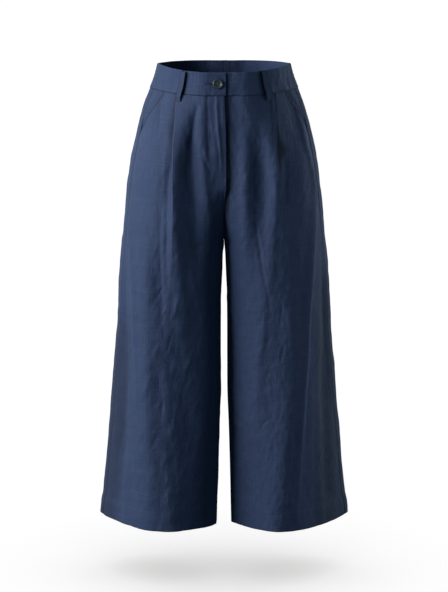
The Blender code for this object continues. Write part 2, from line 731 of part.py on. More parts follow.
def make_button(cover, home, cutters):
    out = BAND_OUT + BAND_LIFT + SEAM_GAP
    seat = body_point(BUTTON_ARC, BUTTON_Z, out)
    below = body_point(BUTTON_ARC, BUTTON_Z - 0.01, out)
    above = body_point(BUTTON_ARC, BUTTON_Z + 0.01, out)
    beside = body_point(BUTTON_ARC + 0.01, BUTTON_Z, out)
    normal = (beside - seat).cross(above - below).normalized()
    turn = normal.to_track_quat("Z", "Y")

    mesh = bpy.data.meshes.new("button")
    points = [(radius, 0.0, height) for radius, height in BUTTON]
    mesh.from_pydata(points, [(k, k + 1) for k in range(len(points) - 1)], [])
    made = put("button", mesh, cover, home)
    made.location = seat
    made.rotation_mode = "QUATERNION"
    made.rotation_quaternion = turn
    screw = made.modifiers.new("turned", "SCREW")
    screw.steps = screw.render_steps = 28
    screw.use_merge_vertices = True
    screw.merge_threshold = 0.00001
    screw.use_smooth_shade = True

    for k, (across, up) in enumerate(((1, 1), (-1, 1), (-1, -1), (1, -1))):
        bm = bmesh.new()
        bmesh.ops.create_cone(
            bm, cap_ends=True, segments=10, depth=0.008,
            radius1=BUTTON_HOLE_RADIUS, radius2=BUTTON_HOLE_RADIUS,
        )
        hole = bpy.data.meshes.new(f"button_hole_{k}")
        bm.to_mesh(hole)
        bm.free()
        cutter = bpy.data.objects.new(hole.name, hole)
        cutters.objects.link(cutter)
        offset = Vector((across * BUTTON_HOLE_OFFSET, up * BUTTON_HOLE_OFFSET, 0.001))
        cutter.location = seat + turn @ offset
        cutter.rotation_mode = "QUATERNION"
        cutter.rotation_quaternion = turn
        cutter.hide_render = True
        cutter.display_type = "WIRE"
        drill = made.modifiers.new(hole.name, "BOOLEAN")
        drill.operation = "DIFFERENCE"
        drill.object = cutter
    return made


def main():
    for old in list(bpy.data.objects):
        bpy.data.objects.remove(old, do_unlink=True)
    home = bpy.data.collections.new("culottes")
    cutters = bpy.data.collections.new("cutters")
    for group in (home, cutters):
        bpy.context.scene.collection.children.link(group)

    linen = material("navy_linen", NAVY, 0.85)
    inside = material("navy_linen_inside", NAVY_INSIDE, 0.9)
    tape = material("zip_tape", NAVY_INSIDE, 0.7)
    shell = material("button_shell", BUTTON_BLUE, 0.25)

    for side in SIDES:
        make_front(side, linen, home)
        make_back(side, linen, home)
        make_pocket_facing(side, linen, home)
        make_hem(side, inside, home)
        make_band(side, linen, home)
    make_fly(tape, inside, home)
    make_loops(linen, home)
    make_button(shell, home, cutters)


main()
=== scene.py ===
# Wide-leg linen culottes: cloth, folds, pleats, seams, stitches and a button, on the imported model.
# Metres. The wearer's left is +X and the garment's front faces -Y.
import json
import math
import time

import bmesh
import bpy
import numpy as np
from mathutils import Matrix, Vector

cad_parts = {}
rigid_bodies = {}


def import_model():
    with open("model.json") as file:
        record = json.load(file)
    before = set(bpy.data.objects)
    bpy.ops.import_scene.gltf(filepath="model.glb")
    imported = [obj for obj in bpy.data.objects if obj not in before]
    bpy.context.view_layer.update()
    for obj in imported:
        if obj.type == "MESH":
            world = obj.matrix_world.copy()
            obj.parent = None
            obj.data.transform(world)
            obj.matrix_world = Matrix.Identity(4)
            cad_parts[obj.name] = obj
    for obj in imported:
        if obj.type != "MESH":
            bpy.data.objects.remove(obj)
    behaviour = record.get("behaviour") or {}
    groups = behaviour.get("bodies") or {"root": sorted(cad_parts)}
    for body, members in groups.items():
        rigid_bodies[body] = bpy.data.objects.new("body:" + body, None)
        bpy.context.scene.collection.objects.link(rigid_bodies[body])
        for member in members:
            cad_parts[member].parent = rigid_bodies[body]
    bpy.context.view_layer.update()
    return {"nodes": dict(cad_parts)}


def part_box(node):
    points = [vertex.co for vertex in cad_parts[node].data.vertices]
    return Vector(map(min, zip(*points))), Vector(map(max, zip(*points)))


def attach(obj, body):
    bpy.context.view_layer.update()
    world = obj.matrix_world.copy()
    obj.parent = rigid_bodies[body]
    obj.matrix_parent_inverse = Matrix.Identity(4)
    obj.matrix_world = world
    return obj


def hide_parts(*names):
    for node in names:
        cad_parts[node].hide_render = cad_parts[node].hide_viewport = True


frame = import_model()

started = time.time()
sides = {"right": -1, "left": 1}


def report(stage):
    print(f"{time.time() - started:6.1f} s  {stage}")


def lerp(a, b, t):
    return a + (b - a) * t


def smooth(t):
    t = np.clip(t, 0.0, 1.0)
    return t * t * (3 - 2 * t)


def ramp(value, start, reach):
    # rises smoothly from 0 at the start to 1 a reach further on
    return smooth((value - start) / reach)


def bell(distance, width):
    return np.exp(-((distance / width) ** 2))


def mound(distance, height, width):
    return height * bell(distance, width)


def curveThrough(rows, column):
    # a smooth curve through one column of the rows, read by height
    rows = sorted(rows)
    z = np.array([row[0] for row in rows])
    value = np.array([row[column] for row in rows])
    rise = np.diff(value) / np.diff(z)
    slope = np.zeros(len(z))
    slope[0], slope[-1] = rise[0], rise[-1]
    for k in range(1, len(z) - 1):
        if rise[k - 1] * rise[k] > 0:
            slope[k] = 2 * rise[k - 1] * rise[k] / (rise[k - 1] + rise[k])

    def read(height):
        height = np.clip(height, z[0], z[-1])
        k = np.clip(np.searchsorted(z, height, side="right") - 1, 0, len(z) - 2)
        span = z[k + 1] - z[k]
        t = (height - z[k]) / span
        low = value[k] * (2 * t**3 - 3 * t**2 + 1) + slope[k] * span * (t**3 - 2 * t**2 + t)
        high = value[k + 1] * (3 * t**2 - 2 * t**3) + slope[k + 1] * span * (t**3 - t**2)
        return low + high

    return read


def curvesThrough(rows):
    # a curve for every column but the first, which is the height
    return [curveThrough(rows, column) for column in range(1, len(rows[0]))]


# A pair whose name ends in Z, X, Arc or Reach is a ramp's start and reach. That of a dent, dip, ridge
# or turn is its height and width. Values named pale or slope set how the dark lines of seams and of
# painted shade fade: what is added to the distance from them, and how fast that distance grows.

# the garment's form, the same as the imported model's
shape = {
    "hemZ": -0.868,
    "crotchZ": -0.3225,
    "riseTop": {"front": -0.185, "back": -0.165},
    "bandDepth": 0.0427,
    "flyEndZ": -0.2055,
    "flyJoinZ": -0.2130,
    "flyFlatZ": -0.2350,
    "centreRound": 0.022,
    "seamInset": 0.0065,
    "seamGap": 0.0003,
    "pocketEndZ": -0.1330,
    "fanSideZ": -0.395,
    "fanLevelZ": -0.710,
    "normalReach": 0.006,
    "squareReach": 0.012,
    "backFlatZ": (-0.14, 0.06),
    "closeReach": 0.0009,
    "inseamGap": 0.00002,
}
panelTop = -shape["bandDepth"] - shape["seamGap"]
# the sheets run on a little behind the band, and the side seams lap
sheetTop = panelTop + 0.0032
seamLap = 0.0002

# height, half width, the side seam's place from front to back
outlineRows = [
    (0.006, 0.1278, 0.012), (0.0, 0.1287, 0.012), (-0.021, 0.133, 0.012), (-0.043, 0.14, 0.012),
    (-0.07, 0.1498, 0.012), (-0.105, 0.1603, 0.012), (-0.15, 0.1702, 0.012), (-0.2, 0.1795, 0.012),
    (-0.266, 0.1869, 0.013), (-0.3225, 0.192, 0.014), (-0.4056, 0.2, 0.018), (-0.499, 0.2043, 0.021),
    (-0.569, 0.2104, 0.023), (-0.687, 0.2197, 0.026), (-0.8056, 0.2309, 0.029),
    (-0.829, 0.2339, 0.03), (-0.841, 0.2368, 0.03), (-0.868, 0.2391, 0.03),
]
# height, crease x and y, centre line y, then four powers: inner crest and edge, outer crest and edge
faceRows = {
    "front": [
        (0.006, 0.026, -0.0985, -0.0983, 0.8, 0.8, 1.0, 1.55),
        (-0.043, 0.028, -0.1062, -0.1058, 0.8, 0.8, 1.0, 1.85),
        (-0.105, 0.055, -0.1155, -0.113, 0.72, 0.72, 0.98, 1.7),
        (-0.17, 0.082, -0.122, -0.115, 0.66, 0.66, 0.98, 1.4),
        (-0.236, 0.097, -0.1265, -0.115, 0.7, 0.72, 1.0, 1.25),
        (-0.3225, 0.108, -0.131, -0.115, 0.8, 0.88, 1.0, 1.22),
        (-0.41, 0.1105, -0.133, -0.115, 0.88, 1.05, 1.02, 1.28),
        (-0.55, 0.109, -0.1345, -0.115, 0.95, 1.3, 1.05, 1.38),
        (-0.7, 0.107, -0.135, -0.115, 1.05, 1.55, 1.08, 1.46),
        (-0.868, 0.1045, -0.1345, -0.115, 1.15, 2.05, 1.1, 1.72),
    ],
    "back": [
        (0.006, 0.026, 0.086, 0.0858, 0.8, 0.8, 1.0, 1.7),
        (-0.043, 0.03, 0.096, 0.0955, 0.8, 0.8, 1.0, 1.65),
        (-0.105, 0.055, 0.113, 0.1105, 0.72, 0.72, 0.98, 1.35),
        (-0.17, 0.078, 0.127, 0.121, 0.7, 0.7, 0.98, 1.18),
        (-0.236, 0.09, 0.1335, 0.121, 0.75, 0.8, 1.0, 1.12),
        (-0.3225, 0.098, 0.135, 0.121, 0.85, 0.98, 1.0, 1.15),
        (-0.41, 0.105, 0.133, 0.121, 0.9, 1.1, 1.02, 1.2),
        (-0.55, 0.11, 0.129, 0.121, 0.95, 1.25, 1.05, 1.28),
        (-0.7, 0.113, 0.1265, 0.121, 1.0, 1.4, 1.08, 1.36),
        (-0.868, 0.115, 0.125, 0.121, 1.1, 1.5, 1.1, 1.45),
    ],
}
# height, the inseam's x and y
inseamRows = [
    (0.006, 0.00016, -0.045), (-0.3225, 0.00016, -0.045), (-0.345, 0.0018, -0.045),
    (-0.39, 0.0038, -0.0455), (-0.43, 0.0055, -0.046), (-0.6, 0.006, -0.048),
    (-0.68, 0.0088, -0.049), (-0.78, 0.0115, -0.05), (-0.829, 0.0125, -0.0515),
    (-0.868, 0.0134, -0.052),
]
halfWidth, seamY = curvesThrough(outlineRows)
face = {name: curvesThrough(rows) for name, rows in faceRows.items()}
inseamX, inseamY = curvesThrough(inseamRows)


def quarter(crease, extreme, crestPower, edgePower, last):
    angle = np.linspace(0, last, 56)
    across = np.sin(angle) ** crestPower
    along = np.maximum(np.cos(angle), 0.0) ** edgePower
    return np.column_stack(
        [lerp(crease[0], extreme[0], across), lerp(extreme[1], crease[1], along)]
    )


def innerQuarter(name, z):
    # from the crease to the inseam, or to the rise seam above the crotch
    creaseX, creaseY, centreY, crest, edge = [read(z) for read in face[name][:5]]
    endY, last = inseamY(z), math.pi / 2
    if z > shape["crotchZ"]:
        riseTop = shape["riseTop"][name]
        riseY = centreY
        if z < riseTop:
            fall = (riseTop - z) / (riseTop - shape["crotchZ"])
            startY = face[name][2](riseTop)
            riseY = lerp(startY, inseamY(shape["crotchZ"]), 1 - math.sqrt(1 - fall * fall))
        last = math.acos(max((riseY - endY) / (creaseY - endY), 0.0) ** (1 / edge))
    reach = (creaseX - inseamX(z)) / math.sin(last) ** crest
    return quarter((creaseX, creaseY), (creaseX - reach, endY), crest, edge, last)


def outerQuarter(name, z):
    creaseX, creaseY = face[name][0](z), face[name][1](z)
    side = (halfWidth(z), seamY(z))
    return quarter((creaseX, creaseY), side, face[name][5](z), face[name][6](z), math.pi / 2)


def roundedCentre(points, share):
    # the front or back levels out where it crosses the centre
    if share <= 0:
        return points
    x, y = points.T
    reach = shape["centreRound"]
    near = np.argmax(x > reach / 4)
    slope = share * (y[near] - y[0]) / (x[near] - x[0])
    short = np.maximum(reach - x, 0.0)
    short[np.argmax(x > reach):] = 0.0
    return np.column_stack([x, y + slope * short**2 / (2 * reach)])


def outlineAt(z):
    front = np.vstack([innerQuarter("front", z)[::-1], outerQuarter("front", z)[1:]])
    back = np.vstack([outerQuarter("back", z)[::-1][1:], innerQuarter("back", z)[1:]])
    level = ramp(z, shape["flyFlatZ"], shape["flyJoinZ"] - shape["flyFlatZ"])
    points = roundedCentre(np.vstack([front, back]), level)
    level = ramp(z, *shape["backFlatZ"])
    return roundedCentre(points[::-1], level)[::-1], len(front) - 1


class Form:
    # the outline at many heights, walked from the centre front or inseam round the side to the back
    samples, coarse, fine = 440, 0.002, 0.0003
    topZ, fineReach, belowHem = 0.010, 0.006, 0.004

    def __init__(self):
        crotch, above = shape["crotchZ"], shape["crotchZ"] + self.fineReach
        levels = list(np.arange(self.topZ, above + self.coarse / 2, -self.coarse))
        levels += list(np.arange(above, crotch, -self.fine))
        levels += list(np.arange(crotch, shape["hemZ"] - self.belowHem, -self.coarse))
        self.level = np.array(sorted(levels))
        self.outline = []
        x, y, total = [], [], []
        for z in self.level:
            points, widest = outlineAt(z)
            length = np.append(0.0, np.cumsum(np.hypot(*np.diff(points, axis=0).T)))
            walk = np.linspace(0, length[-1], self.samples)
            x.append(np.interp(walk, length, points[:, 0]))
            y.append(np.interp(walk, length, points[:, 1]))
            total.append(length[-1])
            self.outline.append((points[:, 0], length, widest))
        self.x, self.y, self.totals = np.array(x), np.array(y), np.array(total)

    def total(self, z):
        return np.interp(z, self.level, self.totals)

    def lineAt(self, name, xAt):
        # the arc at which the front or back crosses a distance from the centre, for every height
        arcs = []
        for z, (x, length, widest) in zip(self.level, self.outline):
            if name == "front":
                arcs.append(np.interp(xAt(z), x[:widest + 1], length[:widest + 1]))
            else:
                arcs.append(np.interp(xAt(z), x[widest:][::-1], length[widest:][::-1]))
        return lambda z: np.interp(z, self.level, arcs)

    def at(self, arc, z):
        k = np.clip(np.searchsorted(self.level, z) - 1, 0, len(self.level) - 2)
        t = (z - self.level[k]) / (self.level[k + 1] - self.level[k])
        share = arc / lerp(self.totals[k], self.totals[k + 1], t)
        share = np.where(z <= shape["crotchZ"], share % 1.0, np.clip(share, 0.0, 1.0))
        spot = share * (self.samples - 1)
        i = np.minimum(spot.astype(int), self.samples - 2)
        f = spot - i

        def read(table):
            low = lerp(table[k, i], table[k, i + 1], f)
            high = lerp(table[k + 1, i], table[k + 1, i + 1], f)
            return lerp(low, high, t)

        return read(self.x), read(self.y)

    def outward(self, arc, z):
        ax, ay = self.at(arc - shape["normalReach"], z)
        bx, by = self.at(arc + shape["normalReach"], z)
        x, y = by - ay, ax - bx
        near = shape["squareReach"]
        square = smooth(arc / near) * smooth((self.total(z) - arc) / near)
        x = np.where(z > shape["flyEndZ"], x * square, x)
        size = np.hypot(x, y)
        return x / size, y / size

    def place(self, arc, z, out):
        # arc is positive on the wearer's left
        arc, z, out = np.broadcast_arrays(arc, z, out)
        side = np.where(arc < 0, -1.0, 1.0)
        x, y = self.at(np.abs(arc), z)
        nx, ny = self.outward(np.abs(arc), z)
        # both halves meet at the centre seams
        fromCentre = np.minimum(np.abs(arc), self.total(z) - np.abs(arc))
        closed = smooth(fromCentre / shape["closeReach"])
        closed = np.where(z > shape["crotchZ"], closed, 1.0)
        return np.column_stack([side * (x + nx * out) * closed, y + ny * out, z])


form = Form()
seamArc = form.lineAt("front", lambda z: halfWidth(z) - shape["seamInset"])
report("the form's outlines")


def crowdEnds(share, amount=0.3):
    # more columns near both ends, where the seams are
    return share - amount * np.sin(2 * np.pi * share) / (2 * np.pi)


def makePiece(name, bm):
    for quad in bm.faces:
        quad.smooth = True
    mesh = bpy.data.meshes.new(name)
    bm.to_mesh(mesh)
    bm.free()
    piece = bpy.data.objects.new(name, mesh)
    bpy.context.scene.collection.objects.link(piece)
    return piece


def clothSheet(name, columns, rows, place, turned=False):
    # a grid laid out by place(u, v), which returns what woven does
    bm = bmesh.new()
    cloth = bm.loops.layers.uv.new("cloth")
    seamsAndShade = bm.loops.layers.uv.new("seamsAndShade")
    bmesh.ops.create_grid(bm, x_segments=columns, y_segments=rows, size=0.5)
    flat = np.array([vert.co[:2] for vert in bm.verts]) + 0.5
    points, weave, edges = place(flat[:, 0], flat[:, 1])
    for vert, point in zip(bm.verts, points):
        vert.co = point
    for quad in bm.faces:
        for corner in quad.loops:
            corner[cloth].uv = weave[corner.vert.index]
            corner[seamsAndShade].uv = edges[corner.vert.index]
    if turned:
        bmesh.ops.reverse_faces(bm, faces=bm.faces)
    return makePiece(name, bm)


def woven(points, arc, z, near, deep=0.0):
    # points, cloth coordinates, then distance from a dark line of a seam or of painted shade, and how
    # deep the painted side shade is
    return points, np.column_stack([arc, z]), np.column_stack([near, deep + 0.0 * z])


def dress(piece, cloth, node=None):
    # cloth is a material and the finish that it stands for
    material, slot = cloth
    piece.data.materials.append(material)
    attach(piece, "root")
    if node:
        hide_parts(node)


def finishSheet(piece, cut, wall, cloth, node, bevel=0.0):
    # the area of the sheet's own grid is summed and the smaller of it and the flat cut's is taken,
    # but not used
    area = sum(quad.area for quad in piece.data.polygons)
    min(area, cut[0] * cut[1])
    solid = piece.modifiers.new("wall", "SOLIDIFY")
    solid.thickness = wall
    solid.offset = -1
    if bevel:
        edge = piece.modifiers.new("edge", "BEVEL")
        edge.width = bevel
        edge.segments = 2
        edge.limit_method = "ANGLE"
        edge.angle_limit = math.radians(55)
    dress(piece, cloth, node)


def crumple(x, z, scale, seed):
    # slow random unevenness, between about -1 and 1
    rng = np.random.default_rng(seed)
    total = np.zeros_like(x)
    for _ in range(7):
        angle, phase = rng.uniform(0, np.pi), rng.uniform(0, 2 * np.pi)
        bend, other = rng.uniform(0.5, 1.5), rng.uniform(0, 2 * np.pi)
        pace = rng.uniform(0.6, 1.6) * 2 * np.pi / scale
        along = x * math.cos(angle) + z * math.sin(angle)
        across = z * math.cos(angle) - x * math.sin(angle)
        total += np.sin(along * pace + phase + bend * np.sin(across * pace * 0.6 + other))
    return total / 3.5


# the panels' unevenness: height, how drawn out it is, scale, step in the seed
unevenLayers = [(0.0009, 0.35, 0.055, 0), (0.00045, 0.6, 0.030, 4), (0.00026, 0.5, 0.015, 10)]


def uneven(x, z, seed):
    total = 0.0
    for high, drawn, scale, step in unevenLayers:
        total = total + high * crumple(x, z * drawn, scale, seed + step)
    return total


# folds: height and half width in mm, how much sharper the outer side is, then x, z points in mm
folds = {
    ("front", "right"): [
        (-9.5, 16, -0.22, [(52, -58), (57, -84), (60, -142), (60, -199), (55, -256), (48, -400)]),
        (-3.4, 6, 0, [(46, -46), (54, -78), (60, -120), (63, -175)]),
        (3, 8, 0, [(40, -62), (39, -142), (36, -199), (27, -270), (23, -350)]),
        (-1.4, 3.2, 0, [(44, -134), (37, -160), (28, -178), (17, -194)]),  # outside the fly's curve
        (3.5, 18, 0, [(130, -60), (138, -140), (146, -250)]),
        (-6.5, 19, -0.6, [(118, -190), (122, -290), (121, -345), (118, -430), (116, -500)]),
        (4.5, 13, -0.2, [(96, -240), (87, -345), (77, -430), (74, -560)]),
        (10, 21, -0.28, [(147, -240), (143, -425), (143, -616), (140, -960)]),
        (3.6, 4.6, 0.1, [(186, -200), (178, -293), (172, -368), (166, -443), (163, -520),
                         (158, -660)]),
        (-8, 9, 0, [(188, -330), (191, -520), (192, -616), (196, -711), (202, -900)]),
        (11, 27, 0, [(42, -320), (36, -600), (34, -900), (34, -1250)]),
        (-3, 2.9, 0, [(122, -54), (121, -80), (119, -108)]),
        (-2.4, 3.4, 0, [(203, -650), (198, -690), (203, -728), (206, -760)]),
    ],
    ("front", "left"): [
        (-6.9, 16, 0.1, [(66, -76), (71, -142), (73, -218), (70, -340)]),
        (5.5, 13, 0, [(38, -92), (40, -142), (40, -218), (43, -400)]),
        (3.5, 11, 0.2, [(93, -140), (95, -230), (92, -310), (87, -430)]),
        (-2.5, 7, 0, [(112, -150), (115, -190), (116, -245)]),
        (3, 20, 0, [(150, -70), (153, -200), (150, -330)]),
        (3.4, 4.5, -0.2, [(130, -52), (138, -86), (150, -142), (157, -168), (164, -202),
                          (167, -245)]),
        (9, 7.5, 0.25, [(166, -160), (169, -218), (166, -293), (162, -368), (155, -443), (152, -520),
                          (147, -616), (142, -711), (136, -880)]),
        (-7, 10, 0, [(192, -330), (193, -560), (194, -690), (198, -900)]),
        (-1.9, 3.2, 0.1, [(58, -262), (61, -290), (71, -360), (80, -405), (90, -455)]),
        (3.6, 15, 0.4, [(80, -340), (76, -425), (72, -482), (63, -577), (57, -700)]),
        (6, 16, 0.1, [(132, -420), (137, -520), (127, -616), (119, -711), (116, -900)]),
        (-1.2, 12, 0, [(111, -390), (106, -444), (98, -519), (84, -613), (78, -690)]),
    ],
    ("back", "right"): [
        (-6.5, 14, 0, [(60, -150), (58, -360), (66, -690)]),
        (3.2, 11, 0.2, [(96, -170), (104, -420), (112, -760)]),
        (-4.2, 13, 0, [(145, -240), (152, -470), (164, -810)]),
        (3.4, 10, 0.3, [(172, -300), (178, -520), (186, -800)]),
        (-2, 5, 0, [(20, -262), (52, -292), (96, -300)]),
        (-1.6, 4.5, 0, [(18, -285), (46, -326), (80, -352)]),
    ],
    ("back", "left"): [
        (-6, 13, 0, [(64, -140), (67, -330), (60, -640)]),
        (3.4, 12, 0.2, [(100, -190), (99, -400), (108, -720)]),
        (-4.6, 14, 0, [(148, -270), (157, -520), (168, -830)]),
        (3, 10, 0.3, [(176, -260), (182, -480), (188, -770)]),
        (-2.2, 5, 0, [(22, -268), (58, -288), (104, -286)]),
        (-1.4, 4.5, 0, [(16, -296), (40, -340), (70, -372)]),
    ],
}
# short wrinkles: height and half width in mm, then the x, z of both ends
wrinkles = {
    ("front", "right"): [
        (-1.2, 3, 114, -397, 137, -438), (1, 3, 105, -429, 120, -463),
        (1.2, 3.5, 84, -414, 97, -463), (-1, 3, 97, -486, 108, -528),
        (0.8, 3, 120, -505, 131, -535), (1, 3.5, 64, -533, 79, -577), (-0.9, 3, 71, -577, 82, -615),
        (0.8, 3, 52, -615, 64, -653), (-0.9, 3, 114, -609, 120, -666),
        (0.7, 3, 135, -566, 142, -609), (-0.8, 3, 123, -676, 135, -714),
        (0.7, 3, 90, -628, 97, -676), (-1.2, 2.5, 47, -815, 67, -830),
        (0.8, 2.5, 34, -803, 45, -824), (-0.8, 3, 120, -72, 127, -102),
        (0.8, 3.5, 108, -87, 120, -144), (-0.6, 4, 133, -144, 146, -191),
        (-0.7, 3, 120, -210, 125, -267), (0.6, 3, 108, -144, 114, -201),
        (-0.8, 3.5, 144, -258, 138, -305), (0.7, 3, 125, -311, 135, -357),
        (-0.6, 3, 101, -357, 108, -400),
    ],
    ("front", "left"): [
        (0.8, 1.6, 71, -72, 61, -91), (0.7, 1.6, 65, -73, 56, -93), (1.2, 4, 120, -448, 127, -514),
        (1, 3, 131, -486, 137, -528), (-1, 3, 112, -505, 105, -547), (1, 4, 82, -566, 90, -619),
        (0.8, 3, 105, -615, 120, -623), (-0.8, 4, 79, -514, 67, -571),
        (-1.4, 2.5, 71, -666, 86, -647), (0.7, 3.5, 123, -657, 116, -714),
        (-0.8, 3, 110, -429, 103, -476), (-0.8, 3, 142, -533, 138, -571),
        (0.7, 4, 90, -676, 82, -733), (0.6, 4, 138, -315, 142, -372),
        (-0.6, 4, 120, -357, 116, -410), (-0.6, 4, 135, -239, 142, -292),
        (0.8, 3, 123, -805, 135, -824), (-0.8, 3, 112, -818, 127, -832),
        (0.4, 2, 36, -444, 71, -448), (-0.6, 3, 96, -610, 88, -640),
    ],
    ("back", "right"): [
        (-1, 3, 70, -420, 84, -470), (0.9, 3.2, 96, -520, 110, -560),
        (-0.9, 3, 120, -380, 132, -425), (0.8, 3.4, 50, -600, 62, -655),
        (-0.8, 3, 132, -620, 140, -668), (0.7, 3, 30, -430, 44, -470),
        (-0.7, 3.4, 88, -690, 96, -736), (0.8, 3, 150, -180, 158, -230),
        (-0.6, 3.6, 90, -90, 98, -140), (0.6, 3.2, 36, -120, 40, -170),
    ],
    ("back", "left"): [
        (-1, 3.2, 76, -395, 90, -452), (0.8, 3, 104, -560, 116, -606),
        (-0.8, 3.4, 128, -350, 136, -404), (0.9, 3, 44, -540, 58, -590),
        (-0.7, 3, 118, -668, 126, -716), (0.7, 3.4, 26, -480, 36, -530),
        (0.7, 3.2, 146, -210, 152, -262), (-0.6, 3.4, 84, -110, 90, -162),
        (-0.8, 3, 62, -710, 70, -752),
    ],
}


def bentPath(points, count=26):
    # a smooth curve through the fold's points, as evenly spaced samples
    points = np.array(points) / 1000
    padded = np.vstack([2 * points[0] - points[1], points, 2 * points[-1] - points[-2]])
    fine = []
    for a, b, c, d in zip(padded, padded[1:], padded[2:], padded[3:]):
        t = np.linspace(0, 1, 20)[:, None]
        bend = (2 * a - 5 * b + 4 * c - d) * t**2 + (3 * b - a - 3 * c + d) * t**3
        fine.append(b + 0.5 * ((c - a) * t + bend))
    fine = np.vstack(fine)
    length = np.append(0.0, np.cumsum(np.hypot(*np.diff(fine, axis=0).T)))
    walk = np.linspace(0, length[-1], count)
    return np.column_stack([np.interp(walk, length, fine[:, k]) for k in range(2)])


def pathReach(path, x, z, margin):
    # which points lie near the path, where they are, and how far each is from every sample of it
    low, high = path.min(0) - margin, path.max(0) + margin
    near = (x > low[0]) & (x < high[0]) & (z > low[1]) & (z < high[1])
    spot = np.column_stack([x[near], z[near]])
    return near, spot, np.hypot(*(spot[:, None] - path[None]).transpose(2, 0, 1))


def foldRelief(rows, x, z):
    # each fold swells and fades along its path, with a soft bell across it
    total = np.zeros_like(x)
    for height, width, lean, points in rows:
        path = bentPath(points)
        near, spot, away = pathReach(path, x, z, 0.004 * width)
        if not len(spot):
            continue
        k = np.clip(away.argmin(1), 1, len(path) - 2)
        run = path[k + 1] - path[k - 1]
        run /= np.hypot(*run.T)[:, None]
        step = spot - path[k]
        across = step[:, 1] * run[:, 0] - step[:, 0] * run[:, 1]
        along = (k + (step * run).sum(1) / np.hypot(*(path[1] - path[0]))) / (len(path) - 1)
        along = np.clip(along, 0.0, 1.0)
        wide = np.where(across > 0, 1 - lean, 1 + lean) * width / 1000
        total[near] += height / 1000 * np.sin(np.pi * along**0.85) * bell(across, wide)
    return total


def allFolds(name, side):
    # a wrinkle is a fold with two points
    short = [(high, wide, 0, [ends[:2], ends[2:]]) for high, wide, *ends in wrinkles[name, side]]
    return folds[name, side] + short


# pleats: height, each side's fold edge, each side's lift, and how far the fold tucks back
pleatRows = [
    (-0.04, 0.0868, 0.0905, 0.0016, 0.0016, 0.012), (-0.07, 0.0886, 0.093, 0.0042, 0.0034, 0.012),
    (-0.105, 0.0912, 0.0952, 0.0054, 0.0048, 0.012), (-0.15, 0.0944, 0.0974, 0.0058, 0.0058, 0.011),
    (-0.19, 0.0957, 0.103, 0.0062, 0.0046, 0.008), (-0.218, 0.0958, 0.106, 0.0064, 0.003, 0.005),
    (-0.25, 0.0958, 0.1066, 0.0062, 0.0018, 0.002), (-0.293, 0.0962, 0.1068, 0.0054, 0.001, 0.0),
    (-0.334, 0.097, 0.1068, 0.004, 0.0005, 0.0), (-0.4, 0.1, 0.107, 0.0012, 0.0002, 0.0),
    (-0.55, 0.1095, 0.108, 0.0, 0.0, 0.0), (-0.7, 0.107, 0.107, 0.0, 0.0, 0.0),
    (-0.868, 0.1045, 0.1045, 0.0, 0.0, 0.0),
]
rightFold, leftFold, rightLift, leftLift, tuckBack = curvesThrough(pleatRows)
pleat = {
    "arc": {"right": form.lineAt("front", rightFold), "left": form.lineAt("front", leftFold)},
    "lift": {"right": rightLift, "left": leftLift},
    "tuck": tuckBack,
    "step": {"right": (0.0048, 0.0105, -0.15, -0.11), "left": (0.0036, 0.0100, -0.18, -0.12)},
    "reach": 0.024,
    "flatTuck": 0.004,
    "sink": {"right": 0.55, "left": -0.30},
    "sinkReach": {"right": 0.0085, "left": 0.0130},
    # the shade values set painted shade in the fold and on the cloth beside it
    "shade": {"right": 0.10, "left": 0.075},
    "shadeAt": {"right": (-0.100, 0.085), "left": (-0.145, 0.045)},
    "shadeFrom": {"right": 0.0007, "left": 0.0},
    "shadeSlope": 0.8,
    "foldShade": (0.0006, 0.003),
    "footPale": 0.004,
    "footZ": (-0.150, -0.080),
}


def pleatStep(side, z):
    # how far it is over the fold's edge to the cloth beneath
    narrow, wide, start, reach = pleat["step"][side]
    return lerp(narrow, wide, ramp(z, start, reach))


# height, how far the fly's fold edge passes the centre
flyRows = [(-0.04, 0.0004), (-0.125, 0.0037), (-0.19, 0.0045), (-0.2055, 0.0046)]
fly = {
    "edge": curveThrough(flyRows, 1),
    "underlap": 0.004,
    "lift": {"right": 0.0024, "left": -0.0028},
    "liftZ": (-0.288, 0.085),
    "liftArc": {"right": (0.012, 0.019), "left": (0.006, 0.045)},
    "foot": {"right": -0.262, "left": -0.276},
    "footReach": 0.055,
    "ridges": [
        (0.5, 2.2, 0.0, [(27, -40), (24, -80), (20, -120), (15, -177)]),
        (2.3, 3.2, 0.25, [(15, -20), (13, -75), (10.5, -110), (7, -145), (4, -200)]),
        (0.8, 2.2, 0.2, [(3.5, -40), (2, -80), (1.5, -125)]),
    ],
    "curve": [
        (32.3, -40), (31, -90), (30.4, -124), (26.6, -161), (21, -180), (11.4, -191), (-3, -193.5),
    ],
    "curveDent": (0.0006, 0.0015),
    "curvePale": 0.0008,
    "tackHeights": (-0.1945, -0.2085, -0.0007),
    "tackEnds": (-0.0035, -0.0015),
    # the slope, pale and leg values set painted shadow beside the overlap and painted shade along the
    # seam below it
    "slope": (0.25, 0.14),
    "slopeZ": (-0.235, 0.03),
    "pale": 0.0003,
    "legPale": 0.0011,
    "legZ": (-0.30, -0.05),
}
pocket = {
    "inset": {"right": 0.047, "left": 0.042},
    "bend": 1.1,
    "endReach": 0.02,
    "ridge": (0.0008, 0.006),
    "underlap": 0.012,
    "clear": 0.004,
    "sink": 0.0011,
    "rise": 0.014,
    "footZ": -0.140,
    "cut": (0.048, 0.101),
    "unevenness": (0.0003, 0.022),
    "slope": 0.4,
}
topstitch = {
    "side": 0.0055,
    "pocket": (0.0016, 0.0050),
    "dent": (0.0003, 0.0010),
    "belowBand": 0.002,
    "aboveHem": 0.004,
    "pocketEnd": 0.012,
    "sideStart": 0.004,
}
